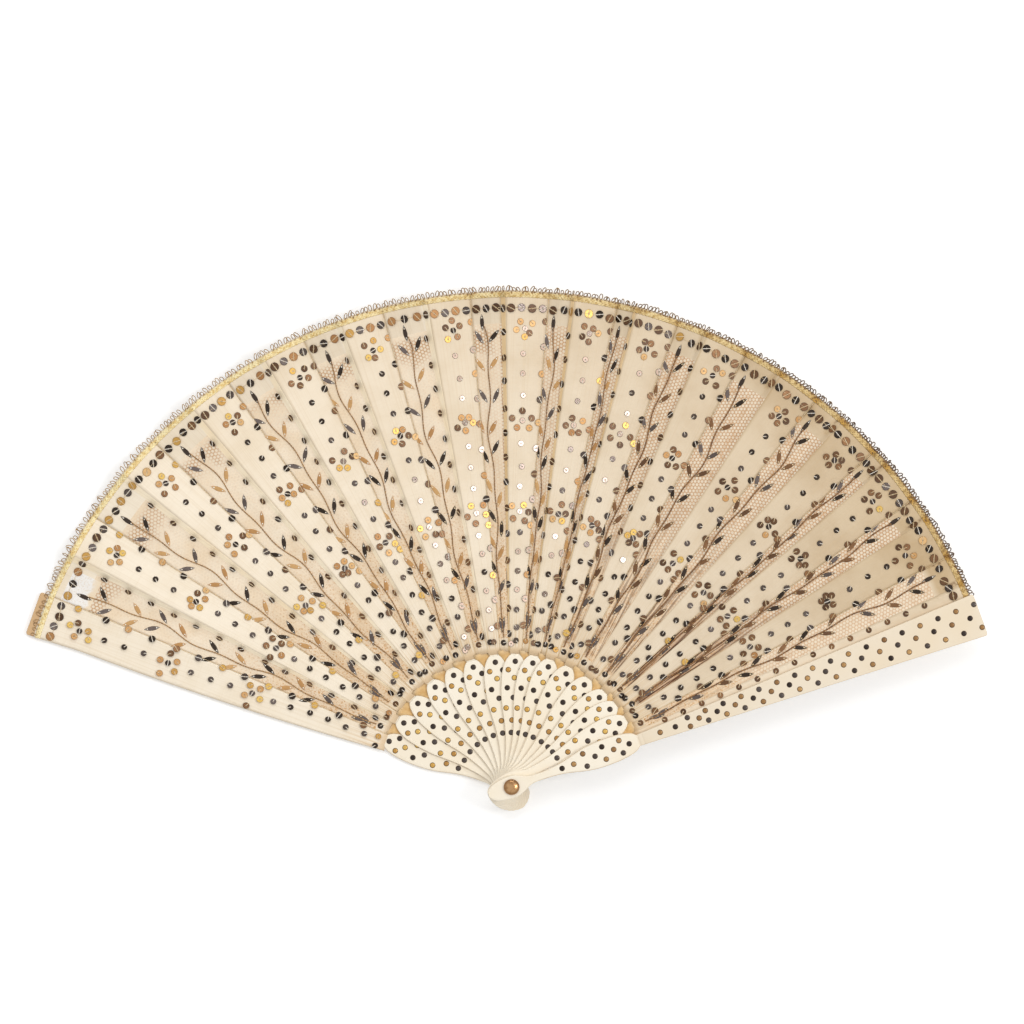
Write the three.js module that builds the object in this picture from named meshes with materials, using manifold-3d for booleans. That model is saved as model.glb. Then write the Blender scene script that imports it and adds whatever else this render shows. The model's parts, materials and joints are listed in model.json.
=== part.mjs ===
// An open folding fan, lying on the back of its rear guard: two guards and fourteen sticks on one
// rivet, under a pleated leaf of silk strips and net strips.
// Millimetres. +Z is the rivet's axis and points up, away from the table. +Y runs from the rivet to the
// middle of the leaf, +X to the front guard's side. The origin is the middle of the rivet's flat back.
import * as THREE from "three";
import { mergeVertices } from "three/addons/utils/BufferGeometryUtils.js";
import Module from "manifold-3d";

// How it lies open: the rear guard's direction from +X, and the turn from each member to the next one.
const REAR_GUARD_DEG = 160.2;
const HEM_EXTRA_FROM_DEG = 95; // from this direction on, growing towards the rear guard
const OPENING_STEPS_DEG = [10.4, 11.1, 11.0, 10.1, 9.8, 10.4, 9.2, 8.1, 7.3, 8.7, 9.8, 9.0, 7.2, 7.8, 10.1];

// Lengths from the rivet's axis
const REAR_GUARD_REACH = 214;
const FRONT_GUARD_REACH = 209;
const LEAF_REACH = 208;
const HEM_EXTRA_REACH = 2.8; // the hem runs this much further out at the rear guard
const BLADE_REACH = 56;
const HEAD_REACH = 10.3;
const HEADS_SHORTER_BY = [1.8, 1.2, 0.6]; // the lowest heads, from the rear guard's on
const NECK_AT = 11;
const BLADE_WIDEST_AT = 45;
const LOBE_WIDEST_AT = 42;

// Widths
const HEAD_WIDTH = 9.2;
const HOLE_ASIDE = 1.4; // the rivet's hole lies this far right of a head's middle, except the front guard's
const NECK_WIDTH = 3.8;
const BLADE_WIDTH = 10.8;
const RIB_WIDTH_AT_BLADE = 4.4;
const RIB_WIDTH_AT_TIP = 3;
const GUARD_NECK_WIDTH = 3.2;
const GUARD_LOBE_WIDTH = 11.2;
const GUARD_WEDGE_DEG = 5.04;
const REAR_GUARD_BOW_WIDTH = 2.7; // how far the rear guard's outer side bows out beyond its sector
const BOW_WIDEST_AT = 100; // from the rivet's axis
const BOW_END_AT = 190;
const SILK_DEG = 5.1;
const LAST_SILK_SHIFT_DEG = 1.45;

// Thicknesses and heights
const GUARD_THICKNESS = 2.2;
const BLADE_THICKNESS = 0.8;
const RIB_THICKNESS = 0.4;
const SILK_THICKNESS = 0.15;
const NET_THICKNESS = 0.15;
const PLEAT_HEIGHT = 3.6; // how far a silk edge rises or drops at the hem
const PLEAT_STEP_HEIGHT = 0.42; // the most that a pleat may differ from the one beside it

// Rivet and engraving
const PIN_DIAMETER = 2.5;
const RIVET_HEAD_DIAMETER = 6.6;
const RIVET_DOME_HEIGHT = 1.9;
const RIVET_BACK_DIAMETER = 5;
const RIVET_BACK_THICKNESS = 0.7;
const RIVET_RIM_HEIGHT = 0.4;
const RIVET_RIM_INSET = 0.2;
const COLLAR_LIP_WIDTH = 0.4; // how far the collar stands out beside the blade
const COLLAR_LINE_AT = 56.8; // from the rivet's axis to the first engraved line
const COLLAR_LINE_SPACING = 2;
const COLLAR_LINE_DEPTH = 0.3;

// Clearances
const STICK_GAP = 0.3;
const PIN_CLEARANCE = 0.1;
const SEAT_GAP = 0.05; // paste under the silk, and the joints of the rivet
const SEAM_GAP = 0.3; // between a silk edge and the net sewn to it
const LEAF_GAP = 0.6; // between the rounded end of a blade and the leaf
const HEM_MARGIN = 4; // leaf beyond the ends of the ribs

// Curve handles, as shares of the stretch that they bend
const HEAD_END_HANDLE = 0.65;
const HEAD_SIDE_HANDLE = 0.6;
const NECK_HEAD_HANDLE = 0.45;
const NECK_HANDLE = 0.55;
const BLADE_HANDLE = 0.55;
const CROWN_SIDE_HANDLE = 0.6;
const CROWN_END_HANDLE = 0.62;
const LOBE_HANDLE = 0.62;
const SHOULDER_HANDLE = 0.5;
const SHOULDER_END_HANDLE = 0.93;

// A net strip lies low for most of its width and then climbs to the fold: the share of its width where
// the climb starts, and the share of the shut fan's width where that point then lies
const CLIMB_AT_OPEN = 0.7;
const CLIMB_AT_SHUT = 0.25;

// How finely curves and sheets are divided
const CURVE_STEPS = 7;
const HOLE_SIDES = 24;
const RIVET_SIDES = 28;
const SHEET_ROWS = 4;
const SILK_COLUMNS = 3;
const SILK_INNER_SHARE = 0.9; // the inner lines of a silk strip stay this far inside its edges
const NET_COLUMNS_LOW = 2;
const NET_COLUMNS_CLIMB = 3;

// Values that follow from those above
const FRONT = OPENING_STEPS_DEG.length;
const STICK_PITCH = BLADE_THICKNESS + STICK_GAP;
const LEAF_FOOT = BLADE_REACH + LEAF_GAP;
const RIB_REACH = LEAF_REACH - HEM_MARGIN;
const HOLE_RADIUS = (PIN_DIAMETER / 2 + PIN_CLEARANCE) / Math.cos(Math.PI / HOLE_SIDES);
const PASTED_SILK = SILK_THICKNESS + 2 * SEAT_GAP;
const GUARD_BLADE_THICKNESS = GUARD_THICKNESS - PASTED_SILK;
const SILK_HALF = THREE.MathUtils.degToRad(SILK_DEG / 2);
const WEDGE_HALF = THREE.MathUtils.degToRad(GUARD_WEDGE_DEG / 2);

const wasm = await Module();
wasm.setup();

// Finishes
const finish = (color, roughness, metalness = 0) =>
  new THREE.MeshStandardMaterial({ color, roughness, metalness });
const bone = finish(0xf1e6d2, 0.45);
const silk = finish(0xe8dac0, 0.8);
const net = finish(0xd9c4a8, 0.9);
const brass = finish(0x9c6b3f, 0.3, 0.9);

// The direction of a member from +X, and the height of its underside. The rear guard is member 0, the
// front guard the last one.
function angleOf(member) {
  const turned = OPENING_STEPS_DEG.slice(0, member).reduce((sum, step) => sum + step, 0);
  return THREE.MathUtils.degToRad(REAR_GUARD_DEG - turned);
}
function levelOf(member) {
  return member === 0 ? 0 : GUARD_THICKNESS + STICK_GAP + (member - 1) * STICK_PITCH;
}

// A closed solid for joining and cutting, and its geometry again
function solidOf(geometry) {
  const bare = geometry.clone();
  bare.deleteAttribute("normal");
  bare.deleteAttribute("uv");
  const merged = mergeVertices(bare);
  const vertProperties = merged.attributes.position.array;
  const triVerts = new Uint32Array(merged.index.array);
  return new wasm.Manifold(new wasm.Mesh({ numProp: 3, vertProperties, triVerts }));
}
function geometryOf(solid) {
  const mesh = solid.getMesh();
  const geometry = new THREE.BufferGeometry();
  geometry.setAttribute("position", new THREE.BufferAttribute(mesh.vertProperties, mesh.numProp));
  geometry.setIndex(new THREE.BufferAttribute(mesh.triVerts, 1));
  geometry.computeVertexNormals();
  return geometry;
}

// A flat outline from its right-hand side, drawn upwards from one point of the middle line to another.
// The middle line slants: it passes the rivet at a distance to the left and ends on the stick's own line.
function mirroredShape(side, aside = 0) {
  const right = side.getPoints(CURVE_STEPS);
  const left = right.slice(1, -1).map((point) => new THREE.Vector2(-point.x, point.y));
  const slanted = (point) => new THREE.Vector2(point.x - aside * (1 - point.y / BLADE_REACH), point.y);
  return new THREE.Shape([...right, ...left.reverse()].map(slanted));
}
function plate(shape, low, high) {
  const options = { depth: high - low, bevelEnabled: false, curveSegments: HOLE_SIDES / 2 };
  return new THREE.ExtrudeGeometry(shape, options).translate(0, 0, low);
}
function addPivotHole(shape) {
  shape.holes.push(new THREE.Path().absarc(0, 0, HOLE_RADIUS, 0, 2 * Math.PI, true));
}

// The handle end of a stick or guard: round head, narrow neck, then out to the widest point of the blade.
// The lowest heads are shorter, and the rivet's hole lies beside the middle of all but the front guard's.
const headReach = (member) => HEAD_REACH - (HEADS_SHORTER_BY[member] ?? 0);
const holeAside = (member) => (member === FRONT ? 0 : HOLE_ASIDE);
function traceHandle(member, neckWidth, bladeWidth, widestAt) {
  const head = HEAD_WIDTH / 2;
  const neck = neckWidth / 2;
  const blade = bladeWidth / 2;
  const reach = headReach(member);
  const rise = widestAt - NECK_AT;
  const side = new THREE.Path();
  side.moveTo(0, -reach);
  const swell = NECK_AT + rise * BLADE_HANDLE;
  side.bezierCurveTo(head * HEAD_END_HANDLE, -reach, head, -reach * HEAD_SIDE_HANDLE, head, 0);
  side.bezierCurveTo(head, NECK_AT * NECK_HEAD_HANDLE, neck, NECK_AT * NECK_HANDLE, neck, NECK_AT);
  side.bezierCurveTo(neck, swell, blade, swell, blade, widestAt);
  return side;
}

// A thin closed sheet of rows by columns, whose underside is given by pointAt(row, column)
function sheetGeometry(rows, columns, thickness, pointAt) {
  const positions = [];
  for (const lift of [0, thickness]) {
    for (let row = 0; row <= rows; row++) {
      for (let column = 0; column <= columns; column++) {
        const point = pointAt(row, column);
        positions.push(point.x, point.y, point.z + lift);
      }
    }
  }
  const layer = (rows + 1) * (columns + 1);
  const under = (row, column) => row * (columns + 1) + column;
  const over = (row, column) => layer + under(row, column);
  const index = [];
  const quad = (a, b, c, d) => index.push(a, b, c, a, c, d);
  for (let row = 0; row < rows; row++) {
    for (let column = 0; column < columns; column++) {
      const [next, beside] = [row + 1, column + 1];
      quad(over(row, column), over(row, beside), over(next, beside), over(next, column));
      quad(under(row, column), under(next, column), under(next, beside), under(row, beside));
    }
    quad(under(row, 0), over(row, 0), over(row + 1, 0), under(row + 1, 0));
    quad(under(row, columns), under(row + 1, columns), over(row + 1, columns), over(row, columns));
  }
  for (let column = 0; column < columns; column++) {
    quad(under(0, column), under(0, column + 1), over(0, column + 1), over(0, column));
    quad(under(rows, column), over(rows, column), over(rows, column + 1), under(rows, column + 1));
  }
  const geometry = new THREE.BufferGeometry();
  geometry.setAttribute("position", new THREE.Float32BufferAttribute(positions, 3));
  geometry.setIndex(index);
  geometry.computeVertexNormals();
  return geometry;
}

// The pleats. A silk strip rises to its left edge and drops to its right edge, by heights that grow from
// the foot of the leaf to the hem. The strips on the guards stay flat. Each edge differs from the one
// above it by no more than the pleat step, so the strips lie inside each other when the fan is shut.
const isGuard = (member) => member === 0 || member === FRONT;
function pleatHeight(member, membersLeft) {
  return isGuard(member) ? 0 : Math.min(PLEAT_HEIGHT, PLEAT_STEP_HEIGHT * membersLeft);
}
const leftRise = (member) => pleatHeight(member, FRONT - member);
const rightDrop = (member) => pleatHeight(member, member);

// How far the strip stands above its stick, at a share from -1 at its left edge to 1 at its right edge
function leanAt(member, radius, share) {
  const growth = Math.max(0, radius - LEAF_FOOT) / (LEAF_REACH - LEAF_FOOT);
  const middle = (leftRise(member) - rightDrop(member)) / 2;
  const slope = (leftRise(member) + rightDrop(member)) / 2;
  return growth * (middle - slope * share);
}
const silkEdge = (radius) => radius * SILK_HALF;
const ribHalfAt = (radius) => {
  const along = (radius - BLADE_WIDEST_AT) / (RIB_REACH - BLADE_WIDEST_AT);
  return THREE.MathUtils.lerp(RIB_WIDTH_AT_BLADE, RIB_WIDTH_AT_TIP, along) / 2;
};
const rowRadius = (row, extra = 0) =>
  row > SHEET_ROWS ? LEAF_REACH + extra : THREE.MathUtils.lerp(LEAF_FOOT, RIB_REACH, row / SHEET_ROWS);
function hemExtra(member) {
  const from = THREE.MathUtils.degToRad(HEM_EXTRA_FROM_DEG);
  const share = (angleOf(member) - from) / (angleOf(0) - from);
  return HEM_EXTRA_REACH * THREE.MathUtils.clamp(share, 0, 1);
}

// How far the rear guard and the silk on it reach out beyond their sector, on the outer side
function bowAt(member, radius) {
  const away = (radius - BOW_WIDEST_AT) / (BOW_END_AT - BOW_WIDEST_AT);
  return member === 0 ? REAR_GUARD_BOW_WIDTH * Math.max(0, 1 - away * away) : 0;
}

// A point at a distance along and across a stick, measured on the arc, where +Y runs along the stick
function stickPoint(radius, across, z) {
  const turn = Math.PI / 2 - across / radius;
  return new THREE.Vector3(radius * Math.cos(turn), radius * Math.sin(turn), z);
}

// A stick: a thin blade with a rounded end, and a narrow rib that carries on under the leaf and twists
// with its pleat
function stickGeometry(member) {
  const side = traceHandle(member, NECK_WIDTH, BLADE_WIDTH, BLADE_WIDEST_AT);
  const crown = BLADE_WIDEST_AT + (BLADE_REACH - BLADE_WIDEST_AT) * CROWN_SIDE_HANDLE;
  const half = BLADE_WIDTH / 2;
  side.bezierCurveTo(half, crown, half * CROWN_END_HANDLE, BLADE_REACH, 0, BLADE_REACH);
  const blade = mirroredShape(side, holeAside(member));
  addPivotHole(blade);

  const ribPoint = (row, column) => {
    const radius = row === 0 ? BLADE_WIDEST_AT : rowRadius(row - 1);
    const across = column === 0 ? -ribHalfAt(radius) : ribHalfAt(radius);
    return stickPoint(radius, across, leanAt(member, radius, across / silkEdge(radius)));
  };
  const rib = solidOf(sheetGeometry(SHEET_ROWS + 1, 1, RIB_THICKNESS, ribPoint));
  return geometryOf(solidOf(plate(blade, 0, BLADE_THICKNESS)).add(rib));
}

// The part of the rear guard's blade that bows out, with the middle line as its other side
function bowShape() {
  const radii = [LOBE_WIDEST_AT];
  for (let row = 0; row <= SHEET_ROWS; row++) radii.push(rowRadius(row));
  const outer = radii.map((radius) => stickPoint(radius, -radius * WEDGE_HALF - bowAt(0, radius), 0));
  const outline = [[0, RIB_REACH], ...outer.reverse().map((point) => [point.x, point.y]), [0, LOBE_WIDEST_AT]];
  return new THREE.Shape(outline.map(([x, y]) => new THREE.Vector2(x, y)));
}

// A guard: a thick handle with a leaf-shaped lobe, and a long blade that widens with the sector it covers
function guardGeometry(member, reach, bladeLow, bladeHigh, outerFace) {
  const lobe = traceHandle(member, GUARD_NECK_WIDTH, GUARD_LOBE_WIDTH, LOBE_WIDEST_AT);
  const half = GUARD_LOBE_WIDTH / 2;
  const collar = BLADE_REACH * Math.tan(WEDGE_HALF) + COLLAR_LIP_WIDTH;
  const bend = THREE.MathUtils.lerp(LOBE_WIDEST_AT, BLADE_REACH, LOBE_HANDLE);
  const shoulder = THREE.MathUtils.lerp(collar, half, SHOULDER_HANDLE);
  const shoulderAt = THREE.MathUtils.lerp(LOBE_WIDEST_AT, BLADE_REACH, SHOULDER_END_HANDLE);
  lobe.bezierCurveTo(half, bend, shoulder, shoulderAt, collar, BLADE_REACH);
  lobe.lineTo(0, BLADE_REACH);
  const handle = mirroredShape(lobe, holeAside(member));
  addPivotHole(handle);

  const bladeSide = new THREE.Path();
  bladeSide.moveTo(0, LOBE_WIDEST_AT);
  bladeSide.lineTo(LOBE_WIDEST_AT * Math.tan(WEDGE_HALF), LOBE_WIDEST_AT);
  bladeSide.absarc(0, 0, reach, Math.PI / 2 - WEDGE_HALF, Math.PI / 2, false);
  let guard = solidOf(plate(handle, 0, GUARD_THICKNESS));
  guard = guard.add(solidOf(plate(mirroredShape(bladeSide), bladeLow, bladeHigh)));
  if (member === 0) guard = guard.add(solidOf(plate(bowShape(), bladeLow, bladeHigh)));

  const lineWidth = COLLAR_LINE_DEPTH * Math.SQRT2;
  for (const at of [COLLAR_LINE_AT, COLLAR_LINE_AT + COLLAR_LINE_SPACING]) {
    const cutter = new THREE.BoxGeometry(GUARD_LOBE_WIDTH, lineWidth, lineWidth);
    cutter.rotateX(Math.PI / 4).translate(0, at, outerFace);
    guard = guard.subtract(solidOf(cutter));
  }
  return guard;
}

// A silk strip, in its own stick's frame. Its inner lines run along the edges of the rib.
function silkSeat(member) {
  if (member === 0) return GUARD_BLADE_THICKNESS + SEAT_GAP;
  return member === FRONT ? SEAT_GAP : RIB_THICKNESS + SEAT_GAP;
}
const silkShift = (member) => (member === FRONT ? THREE.MathUtils.degToRad(LAST_SILK_SHIFT_DEG) : 0);
function silkGeometry(member) {
  const silkPoint = (row, column) => {
    const radius = rowRadius(row, hemExtra(member));
    const edge = silkEdge(radius);
    const inner = Math.min(ribHalfAt(radius), edge * SILK_INNER_SHARE);
    const across = [-edge - bowAt(member, radius), -inner, inner, edge][column];
    const z = silkSeat(member) + leanAt(member, radius, across / edge);
    return stickPoint(radius, across - silkShift(member) * radius, z);
  };
  return sheetGeometry(SHEET_ROWS + 1, SILK_COLUMNS, SILK_THICKNESS, silkPoint);
}

// A net strip, from the lowered edge of one silk strip to the raised edge of the next. Each point keeps
// the height that lies between the two silk strips at the place where it ends up in the shut fan.
function netColumn(column) {
  if (column <= NET_COLUMNS_LOW) {
    const low = column / NET_COLUMNS_LOW;
    return [CLIMB_AT_OPEN * low, CLIMB_AT_SHUT * low];
  }
  const climb = (column - NET_COLUMNS_LOW) / NET_COLUMNS_CLIMB;
  return [THREE.MathUtils.lerp(CLIMB_AT_OPEN, 1, climb), THREE.MathUtils.lerp(CLIMB_AT_SHUT, 1, climb)];
}
function netGeometry(member) {
  const next = member + 1;
  const silkHeight = (strip, radius, share) =>
    levelOf(strip) + silkSeat(strip) + leanAt(strip, radius, share);
  const netPoint = (row, column) => {
    const [open, shut] = netColumn(column);
    const radius = rowRadius(row, THREE.MathUtils.lerp(hemExtra(member), hemExtra(next), open));
    const seam = SEAM_GAP / radius;
    const from = angleOf(member) - SILK_HALF - seam;
    const to = angleOf(next) + SILK_HALF + silkShift(next) + seam;
    const turn = THREE.MathUtils.lerp(from, to, open);
    const share = 1 - 2 * shut;
    const z = THREE.MathUtils.lerp(silkHeight(member, radius, share), silkHeight(next, radius, share), shut);
    return new THREE.Vector3(radius * Math.cos(turn), radius * Math.sin(turn), z);
  };
  const columns = NET_COLUMNS_LOW + NET_COLUMNS_CLIMB;
  return sheetGeometry(SHEET_ROWS + 1, columns, NET_THICKNESS, netPoint);
}

// The rivet: a pin, a domed head over the front guard and a flat head let into the rear guard's back
const rivetTop = levelOf(FRONT) + GUARD_THICKNESS + SEAT_GAP;
function rivetDomeGeometry() {
  const half = RIVET_HEAD_DIAMETER / 2;
  const profile = new THREE.Path();
  profile.moveTo(0, 0);
  profile.lineTo(half - RIVET_RIM_INSET, 0);
  const crown = RIVET_DOME_HEIGHT - RIVET_RIM_HEIGHT;
  profile.absellipse(0, RIVET_RIM_HEIGHT, half, crown, 0, Math.PI / 2, false);
  const points = profile.getPoints(CURVE_STEPS);
  points[points.length - 1].x = 0;
  return new THREE.LatheGeometry(points, RIVET_SIDES).rotateX(Math.PI / 2);
}
function discGeometry(radius, low, high) {
  const disc = new THREE.CylinderGeometry(radius, radius, high - low, RIVET_SIDES);
  return disc.rotateX(Math.PI / 2).translate(0, 0, (low + high) / 2);
}

const twoDigits = (number) => String(number).padStart(2, "0");
function named(name, geometry, material) {
  const mesh = new THREE.Mesh(geometry, material);
  mesh.name = name;
  return mesh;
}

// The whole fan: a turned group for each guard and stick, with the silk that is pasted to it
const fan = new THREE.Group();
for (let member = 0; member <= FRONT; member++) {
  const group = new THREE.Group();
  group.rotation.z = angleOf(member) - Math.PI / 2;
  group.position.z = levelOf(member);
  if (member === 0) {
    const recess = discGeometry(
      RIVET_BACK_DIAMETER / 2 + SEAT_GAP, -SEAT_GAP, RIVET_BACK_THICKNESS + SEAT_GAP,
    );
    const guard = guardGeometry(member, REAR_GUARD_REACH, 0, GUARD_BLADE_THICKNESS, 0);
    group.add(named("rear_guard", geometryOf(guard.subtract(solidOf(recess))), bone));
  } else if (member === FRONT) {
    const guard = guardGeometry(member, FRONT_GUARD_REACH, PASTED_SILK, GUARD_THICKNESS, GUARD_THICKNESS);
    group.add(named("front_guard", geometryOf(guard), bone));
  } else {
    group.add(named("stick_" + twoDigits(member), stickGeometry(member), bone));
  }
  group.add(named("silk_panel_" + twoDigits(member + 1), silkGeometry(member), silk));
  fan.add(group);
}
for (let member = 0; member < FRONT; member++) {
  fan.add(named("net_panel_" + twoDigits(member + 1), netGeometry(member), net));
}
const pinLow = RIVET_BACK_THICKNESS + SEAT_GAP;
fan.add(named("rivet_pin", discGeometry(PIN_DIAMETER / 2, pinLow, rivetTop - SEAT_GAP), brass));
fan.add(named("rivet_back", discGeometry(RIVET_BACK_DIAMETER / 2, 0, RIVET_BACK_THICKNESS), brass));
const dome = named("rivet_dome", rivetDomeGeometry(), brass);
dome.position.z = rivetTop;
fan.add(dome);

export default fan;
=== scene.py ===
# %% [markdown]
# # An open folding fan with a sequined leaf
# This lesson dresses a fan that was drawn as plain solids: bone sticks on one rivet, and a pleated leaf
# of silk strips and net strips. We load those solids as a fixed frame, and then make each piece again
# with its real edges, cloth and ornament, in the place that the frame gives it.

# %% Load the frame
import json
import math
import random

import bmesh
import bpy
import numpy as np
from mathutils import Matrix, Vector


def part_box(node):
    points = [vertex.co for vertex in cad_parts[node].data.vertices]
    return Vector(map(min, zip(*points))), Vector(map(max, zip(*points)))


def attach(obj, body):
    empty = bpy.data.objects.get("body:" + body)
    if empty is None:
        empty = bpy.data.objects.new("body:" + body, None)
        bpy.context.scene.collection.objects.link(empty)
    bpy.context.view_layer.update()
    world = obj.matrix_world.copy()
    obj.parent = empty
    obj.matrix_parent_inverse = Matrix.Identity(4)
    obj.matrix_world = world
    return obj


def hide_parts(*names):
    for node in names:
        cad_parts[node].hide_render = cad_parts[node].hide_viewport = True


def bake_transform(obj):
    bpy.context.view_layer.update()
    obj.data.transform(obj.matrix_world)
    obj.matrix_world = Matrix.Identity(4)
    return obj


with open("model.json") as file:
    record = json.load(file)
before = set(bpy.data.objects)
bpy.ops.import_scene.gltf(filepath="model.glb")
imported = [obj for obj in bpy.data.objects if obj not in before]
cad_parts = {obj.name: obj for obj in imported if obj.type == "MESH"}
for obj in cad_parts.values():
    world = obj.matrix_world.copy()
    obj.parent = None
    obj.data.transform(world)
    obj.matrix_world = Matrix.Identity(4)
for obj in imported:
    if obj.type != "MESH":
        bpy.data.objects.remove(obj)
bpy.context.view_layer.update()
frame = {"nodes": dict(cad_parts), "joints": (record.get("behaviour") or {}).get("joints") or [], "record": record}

# %% [markdown]
# The fan has sixteen members: two guards and fourteen sticks. Each one turns on the rivet, so one angle
# and one height place it. We could type those numbers again, but the frame already knows them: the
# hinges say how far each member turns, and the guards' boxes say how thick the stack is.

# %% Members of the fan
MM = 0.001
STICK_GAP = 0.3 * MM
MEMBERS = ["rear_guard", *[f"stick_{number:02d}" for number in range(1, 15)], "front_guard"]
FRONT = len(MEMBERS) - 1

on_rear_guard = next(m for m in frame["record"]["mounts"] if m["name"] == "guard_flat")["pos_m"]
OPENING = [math.radians(joint["range_deg"][1]) for joint in frame["joints"]]
ANGLES = [math.atan2(on_rear_guard[1], on_rear_guard[0]) - sum(OPENING[:k]) for k in range(FRONT + 1)]

GUARD_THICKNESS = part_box("rear_guard")[1].z
FRONT_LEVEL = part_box("front_guard")[0].z
STICK_PITCH = (FRONT_LEVEL - GUARD_THICKNESS - STICK_GAP) / (FRONT - 1)
LEVELS = [0.0, *[GUARD_THICKNESS + STICK_GAP + k * STICK_PITCH for k in range(FRONT)]]
print("directions, degrees:", [round(math.degrees(angle), 1) for angle in ANGLES])
print("pitch of the stack, mm:", round(STICK_PITCH / MM, 3))

# %% [markdown]
# The photograph looks straight down on the fan. A camera far above with a long lens keeps the sticks
# free of perspective, as a copy stand does. The rivet's place in the picture and the size of one pixel
# set where the camera stands and how much it sees.

# %% Camera
PIXEL = 0.42 * MM
IMAGE_SIDE = 1024
RIVET_PIXEL = (511.6, 785.9)
CAMERA_HEIGHT = 3.0
FOCUS_HEIGHT = 8 * MM
SENSOR = 36.0
FAR_CLIP = 20.0

camera = bpy.data.objects.new("camera", bpy.data.cameras.new("camera"))
bpy.context.scene.collection.objects.link(camera)
middle = IMAGE_SIDE / 2
camera.location = ((middle - RIVET_PIXEL[0]) * PIXEL, (RIVET_PIXEL[1] - middle) * PIXEL, CAMERA_HEIGHT)
camera.data.sensor_width = SENSOR
camera.data.lens = SENSOR * (CAMERA_HEIGHT - FOCUS_HEIGHT) / (IMAGE_SIDE * PIXEL)
camera.data.clip_end = FAR_CLIP
bpy.context.scene.camera = camera
bpy.context.scene.view_settings.view_transform = "Standard"
print("lens, mm:", round(camera.data.lens))

# %% [markdown]
# ## Shader maths
# A finish is a small graph of nodes. Written as wires and operators it reads like a formula, so this
# cell wraps one socket in a class: `1 - mask` or `grain * 0.2` then adds the Math nodes itself. Colours
# don't go through Math nodes, which would turn them grey. They are mixed by a Mix node.

# %% Wires
class Wire:
    """One output socket of a finish. Arithmetic on it adds Math nodes."""

    def __init__(self, finish, socket):
        self.finish = finish
        self.socket = socket

    def math(self, operation, *values):
        inputs = dict(enumerate([self, *values]))
        return self.finish.node("Math", {"operation": operation}, inputs)

    def __add__(self, other):
        return self.math("ADD", other)

    def __mul__(self, other):
        return self.math("MULTIPLY", other)

    def __sub__(self, other):
        return self.math("SUBTRACT", other)

    def __rsub__(self, other):
        return (self * -1) + other

    __radd__ = __add__
    __rmul__ = __mul__

    def output(self, name):
        """Another output of the same node."""
        return Wire(self.finish, self.socket.node.outputs[name])

    def between(self, low, high):
        """0 below low, 1 above high, and a smooth step from one to the other."""
        settings = {"interpolation_type": "SMOOTHSTEP"}
        return self.finish.node("MapRange", settings, {"Value": self, "From Min": low, "From Max": high})


print("a wire can also:", [name for name in vars(Wire) if not name.startswith("_")])

# %% [markdown]
# Every node comes from one method, `node`, which takes the type, then the settings, then the sockets. The
# other methods are short names for what several finishes use: noise, a bump, the stored tone of a point, for
# age and painted shade, and the coordinates that a mesh stores under the name lay. On cloth and bone these are
# metres, so a pattern keeps its real size and follows the piece when the fan folds. On dots and sequins they
# are shares of the radius.

# %% Finishes
class Finish:
    """A material that is written as wires."""

    def __init__(self, name):
        self.material = bpy.data.materials.new(name)
        self.material.use_nodes = True
        self.tree = self.material.node_tree
        self.tree.nodes.clear()

    def node(self, kind, settings=None, inputs=None, output=0):
        """Adds a node: its settings first, then the values or wires of its sockets."""
        node = self.tree.nodes.new("ShaderNode" + kind)
        for name, value in (settings or {}).items():
            if name == "stops":
                self.set_stops(node.color_ramp, value)
            else:
                setattr(node, name, value)
        for key, value in (inputs or {}).items():
            self.plug(self.find(node.inputs, key), value)
        return Wire(self, self.find(node.outputs, output)) if node.outputs else None

    @staticmethod
    def set_stops(ramp, stops):
        while len(ramp.elements) < len(stops):
            ramp.elements.new(1.0)
        for element, (position, colour) in zip(ramp.elements, stops):
            element.position = position
            element.color = (*colour, 1.0)

    @staticmethod
    def find(sockets, key):
        if isinstance(key, int):
            return sockets[key]
        return next(socket for socket in sockets if key in (socket.identifier, socket.name))

    def plug(self, socket, value):
        if isinstance(value, Wire):
            self.tree.links.new(value.socket, socket)
        elif isinstance(value, tuple) and len(value) == 3 and socket.type == "RGBA":
            socket.default_value = (*value, 1.0)
        else:
            socket.default_value = value

    def mix(self, factor, first, second):
        inputs = {"Factor_Float": factor, "A_Color": first, "B_Color": second}
        return self.node("Mix", {"data_type": "RGBA"}, inputs, "Result_Color")

    def noise(self, scale, detail=2.0, vector=None, roughness=0.5):
        inputs = {"Scale": scale, "Detail": detail, "Roughness": roughness}
        inputs["Vector"] = vector or self.node("TexCoord", output="Object")
        return self.node("TexNoise", {}, inputs)

    def stretched(self, along, across):
        """Cloth or grain coordinates, along and across the piece, scaled unevenly."""
        place = self.node("UVMap", {"uv_map": "lay"})
        return self.node("VectorMath", {"operation": "MULTIPLY"}, {0: place, 1: (along, across, 1.0)})

    def lay(self):
        """The coordinates as they are: outwards, and across the piece."""
        out = self.node("SeparateXYZ", inputs={0: self.stretched(1, 1)})
        return out, out.output("Y")

    def age(self):
        """The tone that the mesh stores for each point, of age and painted shade: 0 for fresh, 1 for most worn and
        shaded.
        """
        return self.node("Attribute", {"attribute_name": "age"}, output="Fac")

    def bump(self, height, strength, distance):
        inputs = {"Height": height, "Strength": strength, "Distance": distance}
        return self.node("Bump", {}, inputs)

    def surface(self, **sockets):
        """The shader itself. Names are the Principled shader's own, with _ for a space."""
        inputs = {name.replace("_", " "): value for name, value in sockets.items()}
        shader = self.node("BsdfPrincipled", {}, inputs)
        self.node("OutputMaterial", {}, {"Surface": shader})
        return self.material


def linear(red, green, blue):
    """A colour as it looks on a screen, 0 to 255, as the linear values that shaders use."""
    return tuple(((part / 255 + 0.055) / 1.055) ** 2.4 for part in (red, green, blue))


print("half grey on a screen, as a linear value:", round(linear(128, 128, 128)[0], 3))

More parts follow.
